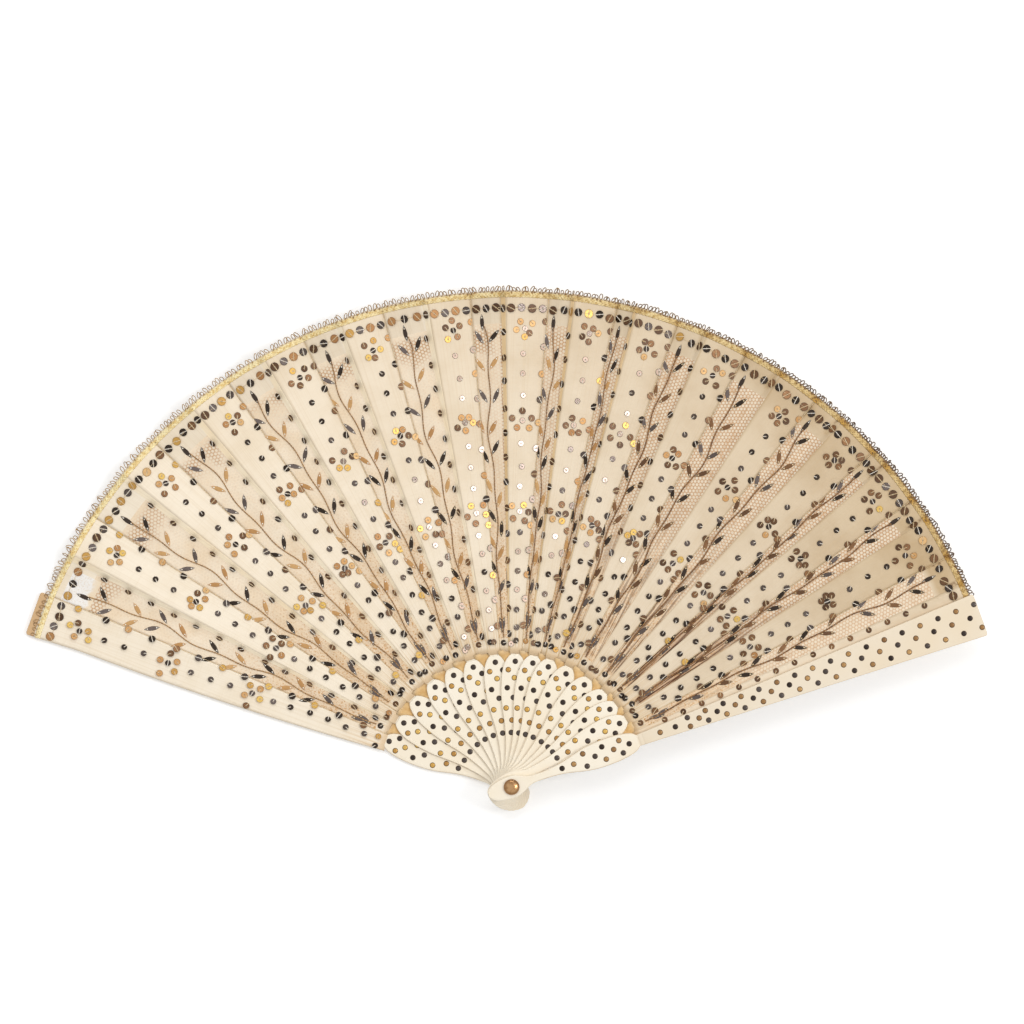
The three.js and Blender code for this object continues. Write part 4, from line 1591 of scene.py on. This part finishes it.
# %% [markdown]
# ## Hem
# The outer edge is bound with a flat gold plait, bright on the left and browned on the right. The plait is
# three strands that swing from side to side, a third of a swing apart, and pass over each other at the
# crossings. It is made of real strands, because the hem is seen against the white ground.

# %% Plait
PLAIT_AT = 206.3 * MM
PLAIT_SWING = 0.8 * MM
PLAIT_WAVE = 4.6 * MM
PLAIT_STEP = 0.5 * MM
PLAIT_LIFT, CROSSING_LIFT = 0.12 * MM, 0.08 * MM
STRAND_RADIUS = 0.52 * MM
STRAND_SIDES = 5
PRESSED = 0.45
BRIGHT_TO, BROWNS_OVER = 3, 9
MIDDLE_AGE, ENDS_OLDER = 0.55, 0.75


def hem_age(member):
    """The hem is bright on the left and browned on the right."""
    return min(1.0, max(0.0, (member - BRIGHT_TO) / BROWNS_OVER))


def width_at_hem(surface, first, last, samples=24):
    path = [surface(PLAIT_AT, first + (last - first) * n / samples) for n in range(samples + 1)]
    return sum((b - a).length for a, b in zip(path, path[1:]))


def plait(pile, member, surface, first, last, weight_at=None):
    """Three strands along the hem, from one share of the strip's width to another."""
    width = width_at_hem(surface, first, last)
    count = max(4, round(width / PLAIT_STEP))
    shares = [first + (last - first) * n / count for n in range(count + 1)]
    sides = range(STRAND_SIDES)
    for strand in range(3):
        path = []
        for n, share in enumerate(shares):
            swing = 2 * math.pi * (width * n / count / PLAIT_WAVE + strand / 3)
            lift = PLAIT_LIFT + CROSSING_LIFT * math.cos(2 * swing)
            path.append(surface(PLAIT_AT + PLAIT_SWING * math.sin(swing), share) + Vector((0, 0, lift)))
        points, faces = tube(path, STRAND_RADIUS, STRAND_SIDES, PRESSED)
        weights = [weight_at(share) for share in shares for _ in sides] if weight_at else 0.0
        off_middle = [abs(2 * n / count - 1) for n in range(count + 1)]
        ages = [hem_age(member) * (MIDDLE_AGE + ENDS_OLDER * away**3) for away in off_middle for _ in sides]
        pile.add(points, faces, PLAIT, age=ages, weight=weights)


print("hem of a silk strip, mm:", round(width_at_hem(silk_surface(1), -1.0, 1.0) / MM, 1))

# %% [markdown]
# Beyond the plait stands a row of small loops of wire, with a knot on about every other one. Towards the
# right they are crushed: shorter, closer together, thicker with dirt and more often knotted. One value, the
# hem's age, drives all four.

# %% Wire loops
LOOPS_AT = LEAF_REACH - 0.4 * MM
LOOP_STEP, LOOPS_CLOSER = 2.1 * MM, 0.32
LOOP_REACH, LOOPS_SHORTER = 1.2 * MM, 0.25
LOOP_HALF = 0.66 * MM
LOOP_RISE = 0.15 * MM
LOOP_POINTS = 11
WIRE_RADIUS, WIRE_THICKER = 0.17 * MM, 0.3
KNOT_RADIUS, KNOT_SIDES = 0.34 * MM, 6
KNOT_LIFT = 0.4 * MM
KNOT_SHARE, MORE_KNOTS = 0.45, 0.5
BROWN_KNOTS_FROM = 0.3


def add_knot(pile, place, old, chance, weight):
    knot = dome(KNOT_RADIUS * chance.uniform(0.7, 1.3), KNOT_RADIUS, KNOT_SIDES)[:2]
    aside, out = off(0.5, chance), chance.uniform(-0.6, 0.3) * MM
    spot = place @ Matrix.Translation((aside, out, KNOT_LIFT))
    lay_on(pile, knot, spot, LOOP_WIRE if old < BROWN_KNOTS_FROM else BROWN, weight, age=old)


def wire_loops(pile, member, surface, first, last, chance, weight_at=None):
    old = hem_age(member)
    spacing = LOOP_STEP * (1 - LOOPS_CLOSER * old)
    count = max(2, round(width_at_hem(surface, first, last) / spacing))
    for n in range(count):
        share = first + (last - first) * (n + 0.5) / count
        place = frame_at(surface, LOOPS_AT, share)
        lean_over = chance.uniform(-0.5, 0.5)
        reach = LOOP_REACH * chance.uniform(0.7, 1.2) * (1 - LOOPS_SHORTER * old)
        path = []
        for step in range(LOOP_POINTS):
            turn = 2 * math.pi * step / (LOOP_POINTS - 1)
            out = reach * (1 - math.cos(turn))
            side = LOOP_HALF * math.sin(turn) + lean_over * out
            path.append(place @ Vector((side, out, LOOP_RISE * math.cos(turn / 2))))
        weight = weight_at(share) if weight_at else 0.0
        points, faces = tube(path, WIRE_RADIUS * (1 + WIRE_THICKER * old), THREAD_SIDES)
        pile.add(points, faces, LOOP_WIRE, age=old, weight=weight)
        if chance.random() < KNOT_SHARE + MORE_KNOTS * old:
            add_knot(pile, place, old, chance, weight)


print("loops along the hem, about:", round(sum(OPENING) * LEAF_REACH / LOOP_STEP))

# %% [markdown]
# One function trims one silk strip: its sequins, its part of the hem, and the thread of its seam. All of it
# becomes one mesh that rides on the strip's stick. Of the last strip only the left third shows beside the
# guard, so it has one row of copper sequins.

# %% Trim the silk strips
SILK_SEED = 100
LAST_STRIP_TO = -0.35
LAST_ROW_FROM, LAST_ROW_STEP, LAST_ROW_SHARE = INNER_ROW_AT + 6 * MM, SEAM_STEP * 0.8, -0.8
SEAM_THREAD_LIFT, SEAM_FINER = 0.1 * MM, 0.7


def border_count(left, right):
    """How many hem sequins a silk strip takes between two shares of its width."""
    return max(1, round((right - left) * BORDER_AT * SILK_HALF / BORDER_STEP))


def silk_trim(member, first_metal):
    chance = random.Random(SILK_SEED + member)
    surface = silk_surface(member)
    pile = Pile()
    left, right = (-1.0, 1.0) if member < FRONT else (-1.0, LAST_STRIP_TO)
    if member < FRONT:
        silk_ornament(pile, member, chance)
    else:
        for at in np.arange(LAST_ROW_FROM, SEAM_START, LAST_ROW_STEP):
            place = frame_at(surface, float(at), LAST_ROW_SHARE)
            sew_sequin(pile, place, SMALL, COPPER_TRIM, chance)
    count = border_count(left, right)
    shares = [left + (right - left) * (n + 0.5) / count for n in range(count)]
    border_row(pile, member, surface, shares, first_metal, chance)
    plait(pile, member, surface, left, right)
    wire_loops(pile, member, surface, left, right, chance)
    if member < FRONT:
        edge = [surface(sheet_radius(row), 1.0, SEAM_THREAD_LIFT) for row in range(SHEET_ROWS - 1)]
        seam = tube(edge, THREAD_RADIUS * SEAM_FINER, THREAD_SIDES)
        lay_on(pile, seam, Matrix.Identity(4), SEAM)
    piece = pile.build(f"silk_trim_{member + 1:02d}", TRIM)
    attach(piece, MEMBERS[member])
    return piece, count


print("hem sequins on a silk strip:", border_count(-1.0, 1.0))

# %% [markdown]
# ## The net strips' sprigs
# A twisted brown thread runs up the middle of each net like a stem. Long pointed sequins sit on both sides
# of it as leaves, in pairs that are steel and tan or copper in turn, and one more ends the stem. A leaf is a
# thin plate with two curved edges, cupped along its middle, held by a stitch at each end. It is lofted too.

# %% Pointed leaf
LEAF_LENGTH = 6.9 * MM
LEAF_WIDTH = 1.85 * MM
LEAF_SECTION = [(-1, 0.02), (-0.8, 0.08), (0, 0.05), (0.8, 0.08), (1, 0.02), (0.8, -0.04), (-0.8, -0.04)]
LEAF_CUTS = 11
LEAST_LEAF_SHARE = 0.06
HOLE_AT = 0.29
LEAF_STITCH = [(HOLE_AT, 0.06), (0.36, 0.08), (0.44, 0.08), (0.51, -0.02)]
LEAF_STITCH_RADIUS = 0.06 * MM
LEAF_LIFT, HOLE_LIFT = 0.08 * MM, 0.07 * MM
HOLE_KNOT = (0.3 * MM, 0.1 * MM, 8)


def pointed_leaf():
    """A pointed plate along Y, lofted through cuts. Heights are in millimetres."""
    cuts = []
    for n in range(LEAF_CUTS):
        along = 2 * n / (LEAF_CUTS - 1) - 1
        half = max(LEAST_LEAF_SHARE, 1 - along * along) * LEAF_WIDTH / 2
        y = along * LEAF_LENGTH / 2
        cuts.append([Vector((half * x, y, z * MM)) for x, z in LEAF_SECTION])
    return loft(cuts)


def leaf_stitch(end):
    """The pale thread that holds one end of a leaf, from its hole to the tip."""
    path = [Vector((0, end * LEAF_LENGTH * share, z * MM)) for share, z in LEAF_STITCH]
    return tube(path, LEAF_STITCH_RADIUS, THREAD_SIDES)


def sew_leaf(pile, place, metal, weight, thread=PALE):
    seat = place @ Matrix.Translation((0, 0, LEAF_LIFT))
    lay_on(pile, pointed_leaf(), seat, metal, weight)
    knot = dome(*HOLE_KNOT)[:2]
    for end in (-1, 1):
        lay_on(pile, leaf_stitch(end), seat, thread, weight)
        hole = seat @ Matrix.Translation((0, end * HOLE_AT * LEAF_LENGTH, HOLE_LIFT))
        lay_on(pile, knot, hole, thread, weight)


print("points in a leaf:", len(pointed_leaf()[0]))

# %% [markdown]
# The stem is two strands twisted round each other, laid by hand in an uneven sway. Each strand is a tube
# along points that circle the stem's line. On the right half of the fan the stem is coarser and browner.

# %% Stem
LEAF_START = 188.5 * MM
STEM_SHARE = 0.37
STEM_STEP = 0.55 * MM
STEM_LIFT = 0.2 * MM
STEM_PAST_LEAF = 5 * MM
STEM_RADIUS = 0.14 * MM
COARSE, FINE = 1.5, 1.1
STRAND_TWIST = 2.4 * MM
STRANDS_APART, STEM_PRESSED = 0.8, 0.6
STEM_SWAY, MOST_SWAY = 1.1 * MM, 0.08
SLOW_SWAY, QUICK_SWAY, QUICK_PART = 9 * MM, 4.2 * MM, 0.6
STEM_BROWNS = 1.7


def net_width(member, radius):
    start, end = net_span(member)
    return (start - end) * radius


def stem_share(member, radius):
    first, second = PHASES[member][:2]
    sway = math.sin(radius / SLOW_SWAY + first) + QUICK_PART * math.sin(radius / QUICK_SWAY + second)
    return STEM_SHARE + min(STEM_SWAY / net_width(member, radius), MOST_SWAY) * sway


def stem(pile, member, surface, weight_at):
    """Two strands twisted round each other along the middle of the net."""
    count = int((LEAF_START + STEM_PAST_LEAF - WINDOW_FOOT) / STEM_STEP)
    thickness = STEM_RADIUS * (COARSE if member > LAST_FOLD else FINE)
    for strand in (0, math.pi):
        path, weights = [], []
        for n in range(count + 1):
            radius = WINDOW_FOOT + n * STEM_STEP
            share = stem_share(member, radius)
            turn = 2 * math.pi * radius / STRAND_TWIST + strand
            circle = Vector((math.cos(turn), 0, STEM_PRESSED * math.sin(turn))) * thickness * STRANDS_APART
            path.append(frame_at(surface, radius, share, STEM_LIFT) @ circle)
            weights += [weight_at(share)] * STRAND_SIDES
        points, faces = tube(path, thickness, STRAND_SIDES)
        pile.add(points, faces, BROWN, age=min(1.0, STEM_BROWNS * member / FRONT), weight=weights)


print("stem on the net, mm:", round((LEAF_START + STEM_PAST_LEAF - WINDOW_FOOT) / MM, 1))

# %% [markdown]
# Leaves go on in pairs, a little off their marks. Where a net is narrow they come closer to the stem and
# stand up more, and the right one of a pair steps back to find room. Two more close the foot, and one the
# tip.

# %% Sprig
LEAF_STEP = 12.2 * MM
LEAF_ASIDE, MOST_ASIDE = 3.7 * MM, 0.26
LEAF_SIDES = ((-1, 1.0), (1, 0.75))
LEAF_SPLAY = math.radians(36)
NARROW, STEP_BACK = 0.7, 0.45
PALE_STITCH_FROM = 130 * MM
SPRIG_FOOT = 69 * MM
FOOT_LEAVES = ((-0.06, 0.2), (0.06, -0.25))
TIP_LEAF_AT, TIP_LEAF_ASIDE = LEAF_START + 6.5 * MM, 0.03
PAIRS = int((LEAF_START - SPRIG_FOOT) / LEAF_STEP)


def leaf_metal(member, pair):
    dull = TAN_TRIM if member <= LAST_FOLD else COPPER_TRIM
    return STEEL_TRIM if pair % 2 == 0 else dull


def leaf_thread(member, radius):
    """Stitches are pale on the left, and as far as the middle of the fan on the outer part."""
    bright = member < LAST_PALE_FOLD or (member <= LAST_FOLD and radius > PALE_STITCH_FROM)
    return PALE if bright else SEAM


def leaf_pair(pile, member, surface, pair, weight_at, chance):
    radius = LEAF_START - pair * LEAF_STEP + off(1, chance)
    middle, width = stem_share(member, radius), net_width(member, radius)
    aside = min(LEAF_ASIDE, MOST_ASIDE * width)
    metal, thread = leaf_metal(member, pair), leaf_thread(member, radius)
    for side, near in LEAF_SIDES:
        share = middle + side * aside * near / width
        splay = -side * (LEAF_SPLAY * aside / LEAF_ASIDE + chance.gauss(0, 0.1))
        behind = STEP_BACK * LEAF_STEP if side > 0 and aside < NARROW * LEAF_ASIDE else 0.0
        place = frame_at(surface, radius - behind + off(2, chance), share)
        sew_leaf(pile, place @ Matrix.Rotation(splay, 4, "Z"), metal, weight_at(share), thread)


def sprig(pile, member, surface, weight_at, chance):
    stem(pile, member, surface, weight_at)
    for pair in range(PAIRS):
        leaf_pair(pile, member, surface, pair, weight_at, chance)
    for aside, turn in FOOT_LEAVES:
        share = stem_share(member, SPRIG_FOOT) + aside
        place = frame_at(surface, SPRIG_FOOT + off(1.5, chance), share)
        sew_leaf(pile, place @ Matrix.Rotation(turn, 4, "Z"), STEEL_TRIM, weight_at(share), SEAM)
    share = stem_share(member, TIP_LEAF_AT) - TIP_LEAF_ASIDE
    sew_leaf(pile, frame_at(surface, TIP_LEAF_AT, share), STEEL_TRIM, weight_at(share))


print("pairs of leaves on a sprig:", PAIRS)

# %% [markdown]
# On the first ten net strips a second row of sequins covers the seam where the net climbs to the next strip.
# On the first six they lean on the climb, and then they lie on it. The trim of a net strip is one mesh
# again, and every sequin keeps the weight of the place where it is sewn.

# %% Trim the net strips
NET_SEED = 200
CLIMB_SHARE = (CLIMB_AT_OPEN + 1) / 2
LAST_LEANING_SEAM, LAST_CLIMBING_SEAM = 5, 9
SEAM_LEAN = math.radians(40)
SEAM_STAGGER, SEAM_INSET = 0.4, 0.35
FOOT_SHARE = 0.4


def climbing_seam(pile, member, surface, weight_at, chance):
    """Sequins that lean on the climb on the left strips, and lie on it in the middle of the fan."""
    if member > LAST_CLIMBING_SEAM:
        return
    leaning = member <= LAST_LEANING_SEAM
    roll = -SEAM_LEAN if leaning else 0.0
    count = int((SEAM_START - INNER_ROW_AT) / SEAM_STEP)
    for step in range(count + 1):
        at = SEAM_START - SEAM_STEP * (step + SEAM_STAGGER) + off(0.6, chance)
        at = max(INNER_ROW_AT, at)
        beside = CLIMB_AT_OPEN - SEAM_INSET * SEAM_ROUND / net_width(member, at)
        share = beside if leaning else CLIMB_SHARE
        metal = COPPER_TRIM if step % 2 else STEEL_TRIM
        place = frame_at(surface, at, share)
        sew_sequin(pile, place, SEAM_ROUND, metal, chance, True, weight_at(share), roll)


def net_trim(member, first_metal):
    chance = random.Random(NET_SEED + member)
    surface = net_surface(member)

    def weight_at(share):
        return net_weight(member, share)

    pile = Pile()
    sprig(pile, member, surface, weight_at, chance)
    climbing_seam(pile, member, surface, weight_at, chance)
    foot = frame_at(surface, FOOT_ROW_AT + off(0.8, chance), FOOT_SHARE)
    sew_sequin(pile, foot, SMALL, crowd(member, chance), chance, weight=weight_at(FOOT_SHARE))
    count = max(1, round(width_at_hem(surface, 0, CLIMB_AT_OPEN) / BORDER_STEP))
    shares = [CLIMB_AT_OPEN * (n + 0.5) / count for n in range(count)]
    border_row(pile, member, surface, [*shares, CLIMB_SHARE], first_metal, chance, weight_at)
    plait(pile, member, surface, 0.0, 1.0, weight_at)
    wire_loops(pile, member, surface, 0.0, 1.0, chance, weight_at)
    piece = pile.build(f"net_trim_{member + 1:02d}", TRIM)
    bend_between(piece, member, pile.weights)
    return piece, count + 1


print("net strips with a climbing seam:", LAST_CLIMBING_SEAM + 1)

# %% [markdown]
# Now the leaf is trimmed from left to right. The hem's row of gilt and steel runs on from strip to strip, so
# each strip is told how many were sewn before it.

# %% Trim the whole leaf
silk_trims, net_trims = [], []
sewn = 0
for member in range(FRONT + 1):
    trim, count = silk_trim(member, sewn)
    silk_trims.append(trim)
    sewn += count
    if member < FRONT:
        trim, count = net_trim(member, sewn)
        net_trims.append(trim)
        sewn += count
print("faces of the trimmings:", sum(len(trim.data.polygons) for trim in [*silk_trims, *net_trims]))

# %% [markdown]
# Each strip is a sheet of cloth: its width at the hem, and its length from foot to hem, a little longer for the
# slack nets. It was cut as a sector of a ring and not as a rectangle. Here the width of each net strip at the
# hem is printed.

LEAST_SHEET = 10 * MM
HEM_SAMPLES = 60


for member, strip in enumerate(net_strips):
    hem = max(width_at_hem(net_surface(member), 0, 1, HEM_SAMPLES), LEAST_SHEET)
    MEMBERS[member + 1]
    print(strip.name, "at the hem, mm:", round(hem / MM, 1))

# %% [markdown]
# ## Rivet
# The rivet is brass gone brown, with a low domed head. The pin and the flat back are plain turned shapes
# and keep their solids. The dome is turned again with more steps, so that its highlight is round.

# %% Rivet dome
def brass_finish():
    brass = Finish("rivet_brass")
    bright, dull, painted_shade = linear(226, 180, 130), linear(186, 138, 92), linear(122, 80, 46)
    tarnish = brass.noise(420.0, 4.0)
    clean = brass.mix(tarnish.between(0.4, 0.7), bright, dull)
    out, _ = brass.lay()
    # painted shade: darker towards the rim of the dome, so that its middle reads lighter
    colour = brass.mix(out.between(0.5, 1.0) * 0.75, clean, painted_shade)
    return brass.surface(Base_Color=colour, Metallic=1.0, Roughness=0.18 + tarnish * 0.2,
                         Normal=brass.bump(tarnish, 0.05, 0.0002))


RIVET_BRASS = brass_finish()
DOME_SIDES = 48
DOME_STEPS = 12
FLAT_TOP = 0.3
RIM_HEIGHT = 0.4 * MM
RIM_IN, RIM_OUT, RIM_OUT_AT = 0.2 * MM, 0.04 * MM, 0.3


def rivet_dome():
    low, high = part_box("rivet_dome")
    half, rise = (high.x - low.x) / 2, high.z - low.z - RIM_HEIGHT
    profile = [(half - RIM_IN, 0.0), (half - RIM_OUT, RIM_HEIGHT * RIM_OUT_AT)]
    for step in range(DOME_STEPS + 1):
        turn = math.pi / 2 * step / (DOME_STEPS + FLAT_TOP)
        profile.append((half * math.cos(turn), RIM_HEIGHT + rise * math.sin(turn)))
    rings = [[Vector((r * math.cos(t), r * math.sin(t), low.z + z)) for t in turns_round(DOME_SIDES)]
             for r, z in profile]
    pile = Pile()
    lay = [(r / half, 0.0) for r, _ in profile for _ in range(DOME_SIDES)]
    pile.add(*loft(rings), lay=lay)
    piece = pile.build("rivet_dome_turned", [RIVET_BRASS])
    face_outwards(piece)
    return piece


dome_piece = rivet_dome()
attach(dome_piece, "rear_guard")
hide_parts("rivet_dome")
for name in ("rivet_pin", "rivet_back"):
    slots = frame["nodes"][name].material_slots
    slots[0].material = RIVET_BRASS
print("dome points:", len(dome_piece.data.vertices))

# %% [markdown]
# ## Ground and light
# The ground is white paper. A little light of its own, seen by the camera and in reflections only, lifts it
# to the white of the photograph without lighting the fan. It lies a hair below the fan, clear of the dots
# under the rear guard.

# %% Ground
GROUND_SIDE = 6.0
GROUND_DROP = 0.15 * MM
PAPER_WHITE = (0.9, 0.9, 0.9)
DARK, GLOW = (0, 0, 0), (0.24, 0.24, 0.24)


def ground_finish():
    ground = Finish("ground")
    rays = ground.node("LightPath", output="Is Camera Ray")
    seen = rays.math("MAXIMUM", rays.output("Is Glossy Ray"))
    seen = seen.math("MAXIMUM", rays.output("Is Transmission Ray"))
    paper = ground.node("BsdfDiffuse", inputs={"Color": PAPER_WHITE})
    glow = ground.node("Emission", inputs={"Color": ground.mix(seen, DARK, GLOW)})
    both = ground.node("AddShader", inputs={0: paper, 1: glow})
    ground.node("OutputMaterial", inputs={"Surface": both})
    return ground.material


bpy.ops.mesh.primitive_plane_add(size=GROUND_SIDE, location=(0, 0, -GROUND_DROP))
ground = bpy.context.object
ground.name = "ground"
ground.data.materials.append(ground_finish())
print("ground:", GROUND_SIDE, "m")

# %% [markdown]
# The main light is a wide soft one beyond the top of the fan, like a window, so the pleats on the left face
# it and those on the right turn away. A smaller one on the right gives the sequins their glint, and two
# small ones far beyond the top light the metal. The sky, an even white, fills the shadows.

# %% Lights and sky
AIM = Vector((0, 0.11, 0))
SKY_STRENGTH = 0.64


def soft_light(name, place, width, depth, power):
    data = bpy.data.lights.new(name, "AREA")
    data.shape = "RECTANGLE"
    data.size, data.size_y, data.energy = width, depth, power
    light = bpy.data.objects.new(name, data)
    light.location = place
    light.rotation_mode = "QUATERNION"
    light.rotation_quaternion = (AIM - Vector(place)).to_track_quat("-Z", "Y")
    bpy.context.scene.collection.objects.link(light)
    return light


window = soft_light("window", (-0.1, 1.1, 2.0), width=1.7, depth=0.8, power=10)
window.visible_glossy = False
soft_light("glint", (1.47, 0.2, 1.85), width=0.68, depth=0.68, power=14)
for side in (-1, 1):
    soft_light("top", (0.3 * side, 1.9, 1.25), width=0.25, depth=0.25, power=2)
world = bpy.data.worlds.new("studio")
bpy.context.scene.world = world
world.use_nodes = True
sky = world.node_tree.nodes["Background"]
sky.inputs["Strength"].default_value = SKY_STRENGTH
sky.inputs["Color"].default_value = (1, 1, 1, 1)
print("sky:", SKY_STRENGTH)

# %% [markdown] The dressed fan has to stay the size of the plain one.
